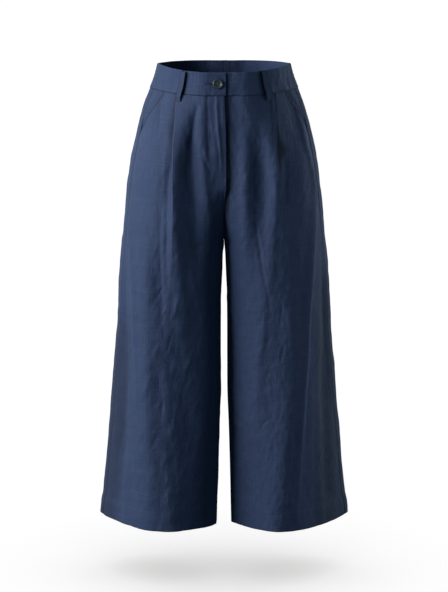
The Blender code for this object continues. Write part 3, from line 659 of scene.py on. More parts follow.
panels = {
    "columns": 148,
    "rows": 300,
    "innerPart": 0.46,
    "foldPart": 0.14,
    "backPart": 0.5,
    "wall": 0.0008,
    "frontCut": (0.37, 0.85),
    "backCut": (0.41, 0.85),
    "frontFade": (0.014, 0.02),
    "backFade": (0.02, 0.04),
    "seamDip": (-0.0010, 0.0013),
    "bandStep": (0.0007, 0.0012),
    "pocketSlope": 0.45,
    "sidePale": 0.0007,
    "backPale": 0.0005,
    "bandPale": 0.0006,
    "pocketPale": 0.0014,
}
# where painted shade darkens the lower legs beside the side seams: ramps across and down
sideShadeRamps = {
    "right": ((-0.042, 0.024), (-0.42, -0.14)),
    "left": ((0.167, 0.014), (-0.33, -0.12)),
}


def pocketArc(side, z):
    share = (z - shape["pocketEndZ"]) / (panelTop - shape["pocketEndZ"])
    return seamArc(z) - pocket["inset"][side] * np.maximum(share, 0.0) ** pocket["bend"]


def pocketShare(z):
    # 1 beside the pocket's opening and 0 below its end
    return ramp(z, shape["pocketEndZ"], pocket["endReach"])


def flyOut(side, arc, z):
    # the overlap stands out and the underlap lies in
    lift = fly["lift"][side] * ramp(z, *fly["liftZ"])
    return lift * (1 - ramp(arc, *fly["liftArc"][side]))


def awayFrom(points, x, z):
    # distance from a smooth line through points in mm
    path = bentPath(points, 90)
    distance = np.full(x.shape, 1.0)
    near, _, away = pathReach(path, x, z, 0.006)
    distance[near] = away.min(1)
    return distance


def frontOut(side, arc, z, pleated=True):
    # how far the front's outer face stands off the plain form
    arc = np.maximum(arc, 0.0)
    x = form.at(arc, z)[0]
    inner, outer = panels["frontFade"]
    fade = smooth(arc / inner) * smooth((seamArc(z) - arc) / outer)
    out = fade * (foldRelief(allFolds("front", side), x, z) + uneven(x, z, 11 + sides[side]))
    out += flyOut(side, arc, z)
    out -= mound(seamArc(z) - arc - topstitch["side"], *topstitch["dent"])
    if side == "right":
        out += foldRelief(fly["ridges"], x, z)
        out -= mound(awayFrom(fly["curve"], x, z), *fly["curveDent"])
    past = arc - pleat["arc"][side](z)
    if pleated:
        lift = pleat["lift"][side](z)
        outside = 1 - smooth(past / pleatStep(side, z))
        out += lift * np.where(past <= 0, bell(past, pleat["reach"]), outside)
    return out + mound(pocketArc(side, z) - arc, *pocket["ridge"]) * pocketShare(z)


def backOut(side, arc, z):
    x = form.at(arc, z)[0]
    inner, outer = panels["backFade"]
    fade = smooth((arc - seamArc(z)) / outer) * smooth((form.total(z) - arc) / inner)
    out = fade * (foldRelief(allFolds("back", side), x, z) + uneven(x, z, 31 + sides[side]))
    return out - mound(arc - seamArc(z) - topstitch["side"], *topstitch["dent"])


def innerHeight(name, sideZ):
    # a row's height at the rise or inseam, where the rows fan out, from its height at the side
    riseTop, crotch = shape["riseTop"][name], shape["crotchZ"]
    first = math.asin((riseTop - shape["flyJoinZ"]) / (riseTop - crotch))
    share = (shape["flyJoinZ"] - sideZ) / (shape["flyJoinZ"] - shape["fanSideZ"])
    fan = lerp(riseTop, crotch, np.sin(lerp(first, np.pi / 2, np.clip(share, 0.0, 1.0))))
    share = (shape["fanSideZ"] - sideZ) / (shape["fanSideZ"] - shape["fanLevelZ"])
    leg = lerp(crotch, shape["fanLevelZ"], np.clip(share, 0.0, 1.0))
    inner = np.where(sideZ > shape["fanSideZ"], fan, leg)
    level = (sideZ > shape["flyJoinZ"]) | (sideZ < shape["fanLevelZ"])
    return np.where(level, sideZ, inner)


def paintedSideShade(side, arc, z):
    # painted shade: the cloth is painted darker beside the side seams of the lower legs
    x = form.at(np.maximum(arc, 0.0), z)[0]
    if side == "right":
        x = x - halfWidth(z)
    across, down = sideShadeRamps[side]
    return ramp(x, *across) * ramp(z, *down)


def fromBand(z):
    # how far below the band's seam
    return np.maximum(panelTop - z, 0.0)


def underBand(z):
    # the sheets' tops step in under the band
    depth, reach = panels["bandStep"]
    return depth * ramp(z, panelTop, reach)


def seamDip(distance):
    # a seamed edge turns in a little
    return mound(distance, *panels["seamDip"])


def frontInnerEdge(side, z):
    # the overlap runs out below the fly's foot, and the underlap a little lower
    reach = fly["edge"](z) if side == "right" else fly["underlap"] + 0 * z
    foot = fly["foot"][side]
    below = np.where(z > shape["crotchZ"], 0.0, shape["inseamGap"])
    return np.where(z > foot, -reach * ramp(z, foot, fly["footReach"]), below)


def frontPoints(side):
    foldAt, liftAt = pleat["arc"][side], pleat["lift"][side]

    def place(u, v):
        sideZ = lerp(shape["hemZ"], sheetTop, v)
        innerZ = innerHeight("front", sideZ)
        first, second = panels["innerPart"], panels["innerPart"] + panels["foldPart"]
        inner, folded, outer = u <= first, (u > first) & (u <= second), u > second
        share = np.clip(u / first, 0.0, 1.0)
        turn = np.clip((u - first) / panels["foldPart"], 0.0, 1.0)
        z = np.where(inner, lerp(innerZ, sideZ, smooth(share)), sideZ)
        edge, step, lift, tuck = foldAt(z), pleatStep(side, z), liftAt(z), pleat["tuck"](z)
        last = np.minimum(seamArc(z) + seamLap, pocketArc(side, z))
        reach = foldAt(innerZ) - frontInnerEdge(side, innerZ)
        toEdge = edge - reach * (1 - crowdEnds(share))
        tucked = edge - tuck * np.sin(np.pi * turn) + step * turn
        toSide = lerp(edge + step, last, crowdEnds(np.clip((u - second) / (1 - second), 0.0, 1.0)))
        arc = np.select([inner, folded], [toEdge, tucked], toSide)

        top = lift * bell(edge - arc, pleat["reach"])
        flat = np.clip(1 - tuck / pleat["flatTuck"], 0.0, 1.0)
        under = lift * lerp(1 - turn, 1 - smooth(turn), flat)
        sink = pleat["sink"][side] * lift
        below = -sink * bell(arc - edge - step, pleat["sinkReach"][side])
        out = frontOut(side, arc, z, pleated=False)
        out += np.select([inner, folded], [top, under - sink * turn], below)
        fromInner, fromSide = arc - frontInnerEdge(side, z), last - arc
        out += np.where(outer, seamDip(fromSide), 0.0)
        out += np.where((u < first) & (innerZ < fly["foot"]["left"]), seamDip(fromInner), 0.0)
        points = form.place(sides[side] * arc, z, out - underBand(z))

        # the darker line along seams, and painted shade in the pleat's fold and on the cloth beside
        # it
        beside = pocketShare(z)
        near = fromSide * lerp(1.0, panels["pocketSlope"], beside)
        near = np.minimum(near + panels["sidePale"] * (1 - beside), fromBand(z) + panels["bandPale"])
        middle, spread = pleat["shadeAt"][side]
        wide = lerp(pleat["shadeSlope"], pleat["shade"][side], bell(z - middle, spread))
        shade = pleat["shadeFrom"][side] + wide * (arc - edge - step)
        dark, pale = pleat["foldShade"]
        shade = np.where(outer, shade, dark + pale * (1 - smooth(2 * turn)))
        shade += pleat["footPale"] * ramp(z, *pleat["footZ"])
        near = np.where(inner, near, np.minimum(near, shade))
        if side == "right":
            near = np.where(innerZ < fly["foot"]["right"], np.minimum(near, fromInner), near)
            curve = awayFrom(fly["curve"], form.at(np.maximum(arc, 0.0), z)[0], z)
            near = np.minimum(near, curve + fly["curvePale"])
        else:
            # painted shadow on the underlap beside the fly's overlap, and below the fly's foot the
            # centre seam's dark line widened with painted shade
            past = np.where(z > fly["foot"]["right"], arc - fly["edge"](z), arc)
            besideFly = ramp(z, *fly["slopeZ"])
            pale = fly["pale"] * besideFly + fly["legPale"] * ramp(z, *fly["legZ"])
            slope = lerp(*fly["slope"], besideFly)
            near = np.minimum(near, slope * np.maximum(past, 0.0) + pale)
        return woven(points, arc, z, near, paintedSideShade(side, arc, z))

    return place


# height, and the line from the centre at which the back's rows start to fan
backGuideRows = [(-0.04, 0.07), (-0.2, 0.086), (-0.3225, 0.098), (-0.55, 0.11), (-0.868, 0.115)]
backGuide = form.lineAt("back", curveThrough(backGuideRows, 1))


def backPoints(side):
    def place(u, v):
        sideZ = lerp(shape["hemZ"], sheetTop, v)
        innerZ = innerHeight("back", sideZ)
        part = panels["backPart"]
        share = np.clip(u / part, 0.0, 1.0)
        z = np.where(u <= part, lerp(innerZ, sideZ, smooth(share)), sideZ)
        gap = np.where(innerZ > shape["crotchZ"], 0.0, shape["inseamGap"])
        reach = form.total(innerZ) - gap - backGuide(innerZ)
        toGuide = backGuide(z) + reach * (1 - crowdEnds(share))
        seam = seamArc(z) - seamLap
        toSide = lerp(backGuide(z), seam, crowdEnds(np.clip((u - part) / (1 - part), 0.0, 1.0)))
        arc = np.where(u <= part, toGuide, toSide)
        fromInner, fromSide = form.total(z) - arc, arc - seam
        out = backOut(side, arc, z) + seamDip(fromInner) + seamDip(fromSide)
        points = form.place(sides[side] * arc, z, out - underBand(z))
        near = np.minimum(fromInner, fromSide + panels["pocketPale"] * pocketShare(z))
        near = np.minimum(near + panels["backPale"], fromBand(z) + panels["bandPale"])
        return woven(points, arc, z, near, paintedSideShade(side, arc, z))

    return place


class Wire:
    # a socket whose sums add Math nodes
    def __init__(self, tree, socket):
        self.tree = tree
        self.socket = socket

    def maths(self, operation, first, second=0.0):
        return addNode(self.tree, "ShaderNodeMath", {"operation": operation}, {0: first, 1: second})

    def __add__(self, other):
        return self.maths("ADD", self, other)

    def __sub__(self, other):
        return self.maths("SUBTRACT", self, other)

    def __rsub__(self, other):
        return self.maths("SUBTRACT", other, self)

    def __mul__(self, other):
        return self.maths("MULTIPLY", self, other)

    __radd__ = __add__
    __rmul__ = __mul__


def addNode(tree, kind, settings, values, output=0):
    made = tree.nodes.new(kind)
    for name, value in settings.items():
        setattr(made, name, value)
    for name, value in values.items():
        if isinstance(value, Wire):
            tree.links.new(value.socket, made.inputs[name])
        else:
            made.inputs[name].default_value = value
    return Wire(tree, made.outputs[output])


def newMaterial(name, colour, roughness):
    made = bpy.data.materials.new(name)
    made.use_nodes = True
    shader = made.node_tree.nodes["Principled BSDF"]
    shader.inputs["Base Color"].default_value = (*colour, 1)
    shader.inputs["Roughness"].default_value = roughness
    made.diffuse_color = (*colour, 1)
    return made, made.node_tree, shader


def join(tree, wire, socket):
    tree.links.new(wire.socket, socket)


def mixColour(tree, factor, first, second):
    # colours are given as three numbers or a wire
    ends = [end if isinstance(end, Wire) else (*end, 1) for end in (first, second)]
    values = {0: factor, 6: ends[0], 7: ends[1]}
    return addNode(tree, "ShaderNodeMix", {"data_type": "RGBA"}, values, 2)


def parted(tree, vector):
    # the vector's three numbers
    node = addNode(tree, "ShaderNodeSeparateXYZ", {}, {0: vector}).socket.node
    return [Wire(tree, socket) for socket in node.outputs]


def between(tree, value, low, high, most=1.0):
    # rises smoothly from 0 to most as the value goes from low to high
    return addNode(
        tree, "ShaderNodeMapRange", {"interpolation_type": "SMOOTHSTEP"},
        {"Value": value, "From Min": low, "From Max": high, "To Max": most},
    )


def noise(tree, vector, scale, detail=2.0, roughness=0.5):
    place = addNode(tree, "ShaderNodeMapping", {}, {"Vector": vector, "Scale": scale})
    values = {"Vector": place, "Scale": 1.0, "Detail": detail, "Roughness": roughness}
    return addNode(tree, "ShaderNodeTexNoise", {"normalize": True}, values)


linen = {
    "colour": (0.0185, 0.0365, 0.0960),
    "slubColour": (0.0300, 0.0545, 0.1330),
    "insideColour": (0.0170, 0.0290, 0.0700),
    "seamAndShadeColour": (0.0055, 0.0125, 0.0360),
    "seamAndShadeFade": (0.0002, 0.0026),
    "slub": 0.55,
    "sideShadeMix": 0.58,
    "roughness": 0.78,
    "thread": 0.0007,
    "bump": 0.00035,
    "wrinkleBump": 0.0017,
    "warp": (1300, 45, 1),
    "weft": (45, 1300, 1),
    "slubs": ((420, 16, 1), (16, 420, 1)),
    "paleSlubs": ((13, 520, 1), (520, 13, 1)),
    "clouds": (22, 14, 1),
    "wrinkles": (150, 90, 1),
}


def linenMaterial(name, colour, slubColour):
    made, tree, shader = newMaterial(name, colour, linen["roughness"])
    uv = addNode(tree, "ShaderNodeUVMap", {"uv_map": "cloth"}, {})
    u, v, _ = parted(tree, uv)

    # threads both ways, with thicker slubs among them
    warp = noise(tree, uv, linen["warp"], 2.0, 0.6)
    weft = noise(tree, uv, linen["weft"], 2.0, 0.6)
    down, level = [noise(tree, uv, scale, 1.0) for scale in linen["slubs"]]
    slubs = down * 0.5 + level * 0.5
    cloudy = noise(tree, uv, linen["clouds"], 3.0)
    pace = 2 * math.pi / linen["thread"]
    over, across = u * pace, v * pace
    crossed = over.maths("SINE", over) * across.maths("SINE", across)

    threads = warp * 0.5 + weft * 0.5
    tone = threads * 0.9 + slubs * 0.9 + cloudy * 0.35 - 0.57
    for scale in linen["paleSlubs"]:
        tone = tone + between(tree, noise(tree, uv, scale, 0.0), 0.60, 0.76, linen["slub"])
    cloth = mixColour(tree, tone, colour, slubColour)
    seamsAndShade = addNode(tree, "ShaderNodeUVMap", {"uv_map": "seamsAndShade"}, {})
    near, deep, _ = parted(tree, seamsAndShade)
    # painted shade beside the side seams of the lower legs
    cloth = mixColour(tree, deep * linen["sideShadeMix"], cloth, linen["seamAndShadeColour"])
    # dark lines of seams, and painted shade by the pleats, the fly, the band's overlap, the loops and
    # the pocket's edge
    cloth = mixColour(tree, between(tree, near, *linen["seamAndShadeFade"]), linen["seamAndShadeColour"], cloth)
    join(tree, cloth, shader.inputs["Base Color"])
    join(tree, threads * 0.12 + linen["roughness"] - 0.06, shader.inputs["Roughness"])

    height = threads * 0.8 + slubs * 0.6 + crossed * 0.10
    wrinkle = noise(tree, uv, linen["wrinkles"], 3.0, 0.6)
    values = {"Strength": 1.0, "Distance": linen["bump"], "Height": height}
    fine = addNode(tree, "ShaderNodeBump", {}, values)
    values = {"Strength": 0.6, "Distance": linen["wrinkleBump"], "Height": wrinkle, "Normal": fine}
    join(tree, addNode(tree, "ShaderNodeBump", {}, values), shader.inputs["Normal"])
    shader.inputs["Sheen Weight"].default_value = 0.10
    shader.inputs["Sheen Roughness"].default_value = 0.45
    shader.inputs["Sheen Tint"].default_value = (0.38, 0.55, 0.88, 1)
    shader.inputs["Specular IOR Level"].default_value = 0.35
    return made


outsideCloth = linenMaterial("navyLinen", linen["colour"], linen["slubColour"]), "navy_linen"
insideCloth = (
    linenMaterial("navyLinenInside", linen["insideColour"], linen["colour"]), "navy_linen_inside"
)

for side in sides:
    size = panels["columns"], panels["rows"]
    front = clothSheet("frontPanel_" + side, *size, frontPoints(side), side == "right")
    finishSheet(front, panels["frontCut"], panels["wall"], outsideCloth, "front_" + side)
    back = clothSheet("backPanel_" + side, *size, backPoints(side), side == "left")
    finishSheet(back, panels["backCut"], panels["wall"], outsideCloth, "back_" + side)
report("fronts and backs")


# belt loops: height, clearance over what carries them, the front ones' distance from the centre
loopRows = [
    (-0.0003, 0.001, 0.0724), (-0.0016, 0.0026, 0.0725), (-0.0036, 0.0034, 0.0726),
    (-0.008, 0.0038, 0.073), (-0.016, 0.004, 0.0739), (-0.023, 0.004, 0.0749),
    (-0.03, 0.0042, 0.0762), (-0.038, 0.0044, 0.0784), (-0.045, 0.004, 0.0803),
    (-0.0495, 0.0026, 0.0816), (-0.053, 0.0006, 0.0824), (-0.055, 0.0004, 0.0828),
]
loopClear, frontLoopX = curvesThrough(loopRows)
loop = {
    "width": 0.012,
    "wall": 0.0015,
    "rounding": 0.0004,
    "top": -0.0003,
    "foot": -0.0550,
    "backArc": 0.080,
    "panelZ": -0.048,
    "clear": loopClear,
    "frontArc": form.lineAt("front", frontLoopX),
    "edgeRidge": (0.0002, 0.05),
    "rowDent": (0.00025, 0.05),
    "rowInset": 0.17,
    "rows": (0.14, 0.86),
    "bars": (0.07, 0.10),
    "barStitch": (0.0010, 0.0009, 0.00036),
    "cutLength": 0.062,
}

band = {
    "out": 0.0015,
    "lift": 0.0012,
    "sink": 0.0017,
    "lapEnd": 0.0035,
    "underlap": 0.030,
    "sideRise": 0.004,
    "waistHalf": 0.1287,
    "liftReach": (0.036, 0.03),
    "sinkReach": (0.006, 0.050),
    "stretchArc": (0.04, 0.10),
    "unevenness": (0.00045, 0.030),
    "footRipple": (0.0003, 0.020),
    "rippleReach": 0.010,
    "puckers": [(-0.0590, 0.0016), (-0.0525, 0.0018), (-0.0455, 0.0014)],
    "puckerHeight": 0.0008,
    "puckerZ": (-0.019, 0.008),
    "lean": 0.0040,
    "leanX": (0.095, 0.030),
    "footLean": 0.0010,
    "footLeanX": (0.115, 0.015),
    "topTurn": (0.0006, 0.0014),
    "footTurn": (0.0005, 0.0012),
    "rounding": 0.0006,
    "slit": -0.0270,
    "slitZ": -0.0209,
    "slitHalf": 0.007,
    "joinBack": 0.0105,
    "wall": 0.0024,
    "columns": 200,
    "rows": 26,
    "lapCut": 0.032,
    "cutDepth": 0.049,
}
waistLength = float(form.total(0.0))


def bandSpot(arc, share):
    # the arc and height of a point on the band, share 0 at its seam and 1 at its top edge
    x = form.at(np.abs(arc), np.zeros_like(arc))[0]
    top = band["sideRise"] * (np.abs(x) / band["waistHalf"]) ** 2
    z = lerp(-shape["bandDepth"], top, share)
    stretch = lerp(1.0, form.total(z) / waistLength, ramp(np.abs(arc), *band["stretchArc"]))
    return arc * stretch, z


def bandOut(side, arc):
    if side == "right":
        return band["out"] + band["lift"] * (1 - ramp(-arc, *band["liftReach"]))
    return band["out"] - band["sink"] * (1 - ramp(arc, *band["sinkReach"]))


def bandPoints(side):
    right = side == "right"
    ends = (band["lapEnd"], -waistLength) if right else (-band["underlap"], waistLength)
    deep = shape["bandDepth"]

    def place(u, v):
        arc = lerp(*ends, u)
        share = crowdEnds(v, 0.5)
        signed, z = bandSpot(arc, share)
        out = bandOut(side, arc)
        high, scale = band["unevenness"]
        out += high * crumple(arc, z, scale, 51 + sides[side])
        high, scale = band["footRipple"]
        out += high * crumple(arc, z * 0.2, scale, 61) * bell(z + deep, band["rippleReach"])
        for pucker, wide in band["puckers"]:
            out += mound(arc - pucker, band["puckerHeight"], wide) * ramp(z, *band["puckerZ"])
        # it leans in at the sides, and its top edge and its seam turn in
        across = np.abs(form.at(np.abs(signed), z)[0])
        out -= band["lean"] * share * ramp(across, *band["leanX"])
        out -= band["footLean"] * (1 - share) ** 4 * ramp(across, *band["footLeanX"])
        out -= mound((1 - share) * deep, *band["topTurn"]) + mound(share * deep, *band["footTurn"])
        points = form.place(signed, z, out)
        near = np.minimum(np.abs(ends[1] - arc) + 0.0010, share * deep + 0.0008)
        if right:
            slit = np.maximum(np.abs(arc - band["slit"]) - band["slitHalf"], 0.0)
            near = np.minimum(near, 0.6 * np.hypot(slit, 1.3 * (z - band["slitZ"])) + 0.0002)
        else:
            # painted shadow on the underlap beside the end of the band's overlap
            near = np.minimum(near, 0.5 * np.maximum(arc - band["lapEnd"], 0.0))
            near = np.minimum(near, np.abs(waistLength - band["joinBack"] - arc) + 0.0002)
        # painted shade on the band beside each front belt loop
        beside = np.abs(np.abs(signed) - loop["frontArc"](z)) - loop["width"] / 2
        near = np.minimum(near, np.maximum(beside, 0.0) + 0.0004)
        return woven(points, signed, z, near)

    return place


for side in sides:
    half = clothSheet(
        "band_" + side, band["columns"], band["rows"], bandPoints(side), side == "right"
    )
    cut = (waistLength + band["lapCut"], band["cutDepth"])
    finishSheet(half, cut, band["wall"], outsideCloth, "waistband_" + side, band["rounding"])
report("waistband")


def facingPoints(side):
    def place(u, v):
        z = lerp(pocket["footZ"], sheetTop, v)
        first, last = pocketArc(side, z) - pocket["underlap"], seamArc(z) + seamLap
        arc = lerp(first, last, u)
        past = arc - pocketArc(side, z) - pocket["clear"]
        out = -(panels["wall"] + pocket["sink"]) * (1 - smooth(past / pocket["rise"]))
        high, scale = pocket["unevenness"]
        out += seamDip(last - arc) + high * crumple(arc, z, scale, 71)
        points = form.place(sides[side] * arc, z, out - underBand(z))
        # painted shade on the facing beside the front's pocket edge
        near = pocket["slope"] * np.maximum(arc - pocketArc(side, z), 0.0)
        near = np.minimum(near, last - arc + panels["pocketPale"])
        return woven(points, arc, z, np.minimum(near, fromBand(z) + 0.0003))

    return place


hem = {
    "depth": 0.040,
    "gap": 0.0005,
    "wall": 0.0008,
    "reveal": 0.0004,
    "inset": 0.0002,
    "cut": (0.75, 0.041),
    "stitchDrop": 0.0025,
    "stitchGap": 0.003,
    "stitchEnd": 0.004,
    "stitch": (0.0070, 0.0022, 0.0003),
}


def hemPoints(side):
    # a ring inside the leg, round the front and then the back
    def place(u, v):
        z = shape["hemZ"] + lerp(hem["reveal"], hem["depth"], v)
        arc = lerp(hem["inset"], form.total(z) - hem["inset"], u)
        seam = seamArc(z)
        out = np.where(arc < seam, frontOut(side, arc, z), backOut(side, arc, z))
        points = form.place(sides[side] * arc, z, out - panels["wall"] - hem["gap"])
        return woven(points, arc, z, np.abs(arc - seam))

    return place


for side in sides:
    turned = side == "right"
    facing = clothSheet("pocketFacing_" + side, 30, 40, facingPoints(side), turned)
    finishSheet(facing, pocket["cut"], panels["wall"], outsideCloth, "pocket_facing_" + side)
    ring = clothSheet("hemTurnUp_" + side, 220, 12, hemPoints(side), turned)
    finishSheet(ring, hem["cut"], hem["wall"], insideCloth, "hem_" + side)
report("pocket facings and hems")


# a stitch is its pitch, length and radius
thread = {
    "stitch": (0.0036, 0.0026, 0.00034),
    "proud": 0.00010,
    "colour": (0.0300, 0.0520, 0.1250),
    "pale": (0.0700, 0.1000, 0.1750),
}


def objectPlace(tree):
    return addNode(tree, "ShaderNodeTexCoord", {}, {}, 3)


def threadMaterial(name, colour):
    made, tree, shader = newMaterial(name, colour, 0.6)
    twist = noise(tree, objectPlace(tree), (2600, 2600, 2600), 1.0)
    dim = [part * 0.6 for part in colour]
    join(tree, mixColour(tree, twist, dim, colour), shader.inputs["Base Color"])
    shader.inputs["Sheen Weight"].default_value = 0.1
    return made


navyThread = threadMaterial("navyThread", thread["colour"])
paleThread = threadMaterial("paleThread", thread["pale"])


def addStitch(bm, first, last, radius):
    # one stitch, a ball drawn out between two points
    first, last = Vector(first), Vector(last)
    run = last - first
    turn = run.to_track_quat("Z", "Y").to_matrix().to_4x4()
    size = Matrix.Diagonal((radius, radius, run.length / 2, 1))
    spot = Matrix.Translation((first + last) / 2) @ turn @ size
    bmesh.ops.create_uvsphere(bm, u_segments=6, v_segments=4, radius=1, matrix=spot)


def sewRow(bm, points, stitch=thread["stitch"]):
    # sewn in short runs, because adding to a long mesh is slow
    pitch, length, radius = stitch
    walk = np.append(0.0, np.cumsum(np.linalg.norm(np.diff(points, axis=0), axis=1)))
    starts = np.arange(pitch / 2, walk[-1] - length, pitch)
    read = [np.interp(np.append(starts, starts + length), walk, points[:, k]) for k in range(3)]
    spots = np.column_stack(read)
    pairs = list(zip(spots[:len(starts)], spots[len(starts):]))
    for k in range(0, len(pairs), 24):
        few = bmesh.new()
        for first, last in pairs[k:k + 24]:
            addStitch(few, first, last, radius)
        mesh = bpy.data.meshes.new("few")
        few.to_mesh(mesh)
        few.free()
        bm.from_mesh(mesh)
        bpy.data.meshes.remove(mesh)


def finishSewing(name, bm, material=navyThread):
    dress(makePiece(name, bm), (material, "navy_linen"))


def onPanel(outAt, side, arc, z):
    arc, z = np.broadcast_arrays(arc, z)
    return form.place(sides[side] * arc, z, outAt(side, arc, z) + thread["proud"])


def arcAtX(x, z):
    # the arc on the front at a distance from the centre
    arc = np.maximum(x, 0.0)
    for _ in range(5):
        arc = np.maximum(arc + x - form.at(arc, z)[0], 0.0)
    return arc


def loopPoints(sign, arcAt, panelOut):
    def place(u, v):
        z = lerp(loop["foot"], loop["top"], v)
        arc = arcAt(z)
        x, y = form.at(arc, z)
        nx, ny = form.outward(arc, z)
        across = (u - 0.5) * loop["width"]
        carrier = np.where(z > loop["panelZ"], band["out"], panelOut(z))
        rim = 0.5 - np.abs(u - 0.5)
        out = loop["clear"](z) + carrier + loop["wall"]
        out += mound(rim, *loop["edgeRidge"]) - mound(rim - loop["rowInset"], *loop["rowDent"])
        px, py = sign * (x + nx * out) - ny * across, y + ny * out + sign * nx * across
        # darker along the loop's edges and foot: its edge lines, with painted shade of the gap beside
        # it
        near = np.minimum(rim * loop["width"], z - z.min()) * 1.2 + 0.0005
        return woven(np.column_stack([px, py, z]), across + 0.3, z, near)

    return place


def makeLoop(name, sign, arcAt, panelOut):
    place = loopPoints(sign, arcAt, panelOut)
    strip = clothSheet("loop_" + name, 16, 60, place)
    cut = (loop["width"], loop["cutLength"])
    finishSheet(strip, cut, loop["wall"], outsideCloth, "belt_loop_" + name, loop["rounding"])

    # a row near each long edge, and a bar of stitches across the foot
    bm = bmesh.new()
    for u in loop["rows"]:
        sewRow(bm, place(np.full(60, u), np.linspace(0.03, 0.95, 60))[0])
    for v in loop["bars"]:
        sewRow(bm, place(np.linspace(0.12, 0.88, 20), np.full(20, v))[0], loop["barStitch"])
    finishSewing("loopStitches_" + name, bm)


def noLift(z):
    return 0.0 * z


for side, sign in sides.items():
    makeLoop("front_" + side, sign, loop["frontArc"], pleat["lift"][side])
    makeLoop("back_" + side, sign, lambda z: form.total(z) - loop["backArc"], noLift)
makeLoop("centre_back", 1, form.total, noLift)
report("belt loops")

for side in sides:
    # double rows along the pocket's edge and one down each side of the side seam
    bm = bmesh.new()
    top, foot = panelTop - topstitch["belowBand"], shape["hemZ"] + topstitch["aboveHem"]
    z = np.linspace(top, shape["pocketEndZ"] + topstitch["pocketEnd"], 40)
    for inset in topstitch["pocket"]:
        sewRow(bm, onPanel(frontOut, side, pocketArc(side, z) - inset, z))
    z = np.linspace(shape["pocketEndZ"] - topstitch["sideStart"], foot, 240)
    sewRow(bm, onPanel(frontOut, side, seamArc(z) - topstitch["side"], z))
    z = np.linspace(top, foot, 260)
    sewRow(bm, onPanel(backOut, side, seamArc(z) + topstitch["side"], z))
    finishSewing("seamStitches_" + side, bm)

    # the hem's row shows as small pale dashes
    bm = bmesh.new()
    z = shape["hemZ"] + hem["depth"] - hem["stitchDrop"]
    seam, gap, end = float(seamArc(z)), hem["stitchGap"], hem["stitchEnd"]
    rows = (frontOut, end, seam - gap), (backOut, seam + gap, float(form.total(z)) - end)
    for outAt, first, last in rows:
        sewRow(bm, onPanel(outAt, side, np.linspace(first, last, 160), z), hem["stitch"])
    finishSewing("hemStitches_" + side, bm, paleThread)

bm = bmesh.new()
line = bentPath(fly["curve"], 120)
line = line[(line[:, 0] > 0.0005) & (line[:, 1] < panelTop - 0.001)]
sewRow(bm, onPanel(frontOut, "right", arcAtX(line[:, 0], line[:, 1]), line[:, 1]))
finishSewing("flyStitches", bm)

bm = bmesh.new()
for z in np.arange(*fly["tackHeights"]):
    ends = onPanel(frontOut, "right", np.array(fly["tackEnds"]), z)
    addStitch(bm, *ends, thread["stitch"][2])
finishSewing("flyBarTack", bm, paleThread)

buttonhole = {
    "across": (-0.0075, 0.0080, 0.0008),
    "rows": ((-0.00048, -0.0016), (0.00048, 0.0016)),
    "radius": 0.00030,
    "proud": 0.0002,
}
bm = bmesh.new()
for offset in np.arange(*buttonhole["across"]):
    for heights in buttonhole["rows"]:
        arc, z = np.full(2, band["slit"] + offset), band["slitZ"] + np.array(heights)
        ends = form.place(arc, z, bandOut("right", arc) + buttonhole["proud"])
        addStitch(bm, *ends, buttonhole["radius"])
finishSewing("buttonholeStitches", bm)

low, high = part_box("button")
button = {
    "centre": (low + high) / 2,
    # the groove ring and the holes are painted shade, and the outer edge ring is a painted shadow
    "rings": {"grooveShade": (0.0040, 0.0048), "rim": (0.0058, 0.0066), "edge": (0.0078, 0.0086)},
    "shell": (0.072, 0.094, 0.112),
    "grooveShade": (0.012, 0.020, 0.032),
    "rim": (0.042, 0.060, 0.080),
    "edge": (0.012, 0.022, 0.034),
    "holeShade": (0.004, 0.007, 0.012),
    "holeOffset": 0.0018,
    "hole": 0.0013,
    "threadDepth": 0.0012,
    "threadReach": 0.0017,
    "threadRadius": 0.00036,
    "coat": {"Coat Weight": 0.2, "Coat Roughness": 0.15},
}

# a cross of thread between the holes
bm = bmesh.new()
spot = Vector((button["centre"].x, low.y + button["threadDepth"], button["centre"].z))
for slope in (-1, 1):
    reach = button["threadReach"] * Vector((1, 0, slope))
    addStitch(bm, spot - reach, spot + reach, button["threadRadius"])
finishSewing("buttonThread", bm)
report("sewing")


# the hidden fly pieces and the button keep their solids
def redress(name, material):
    materials = frame["nodes"][name].data.materials
    materials.clear()
    materials.append(material)


plainCloth, clothTree, clothShader = newMaterial("flyTape", linen["insideColour"], 0.85)
grain = noise(clothTree, objectPlace(clothTree), (900, 900, 120), 2.0)
grain = mixColour(clothTree, grain, linen["insideColour"], linen["colour"])
join(clothTree, grain, clothShader.inputs["Base Color"])
for name in ("fly_zip", "fly_shield"):
    redress(name, plainCloth)

shell, tree, shader = newMaterial("buttonShell", button["shell"], 0.45)
values = {"Vector": objectPlace(tree), "Location": -button["centre"]}
offset = addNode(tree, "ShaderNodeMapping", {}, values)
radius = addNode(tree, "ShaderNodeVectorMath", {"operation": "LENGTH"}, {0: offset}, 1)
swirl = noise(tree, offset, (330, 330, 330), 3.0)
across, _, up = parted(tree, offset)
across = across.maths("ABSOLUTE", across) - button["holeOffset"]
up = up.maths("ABSOLUTE", up) - button["holeOffset"]
fromHole = across * across + up * up
hole = fromHole.maths("LESS_THAN", fromHole, button["hole"] ** 2)
colour = mixColour(tree, swirl * 1.6 - 0.3, button["grooveShade"], button["shell"])
# painted shade in the holes
colour = mixColour(tree, hole, colour, button["holeShade"])
# painted shade in the groove and painted shadow at the outer edge, with the rim between
for name, ring in button["rings"].items():
    colour = mixColour(tree, between(tree, radius, *ring), colour, button[name])
join(tree, colour, shader.inputs["Base Color"])
for name, value in button["coat"].items():
    shader.inputs[name].default_value = value
redress("button", shell)
report("button")


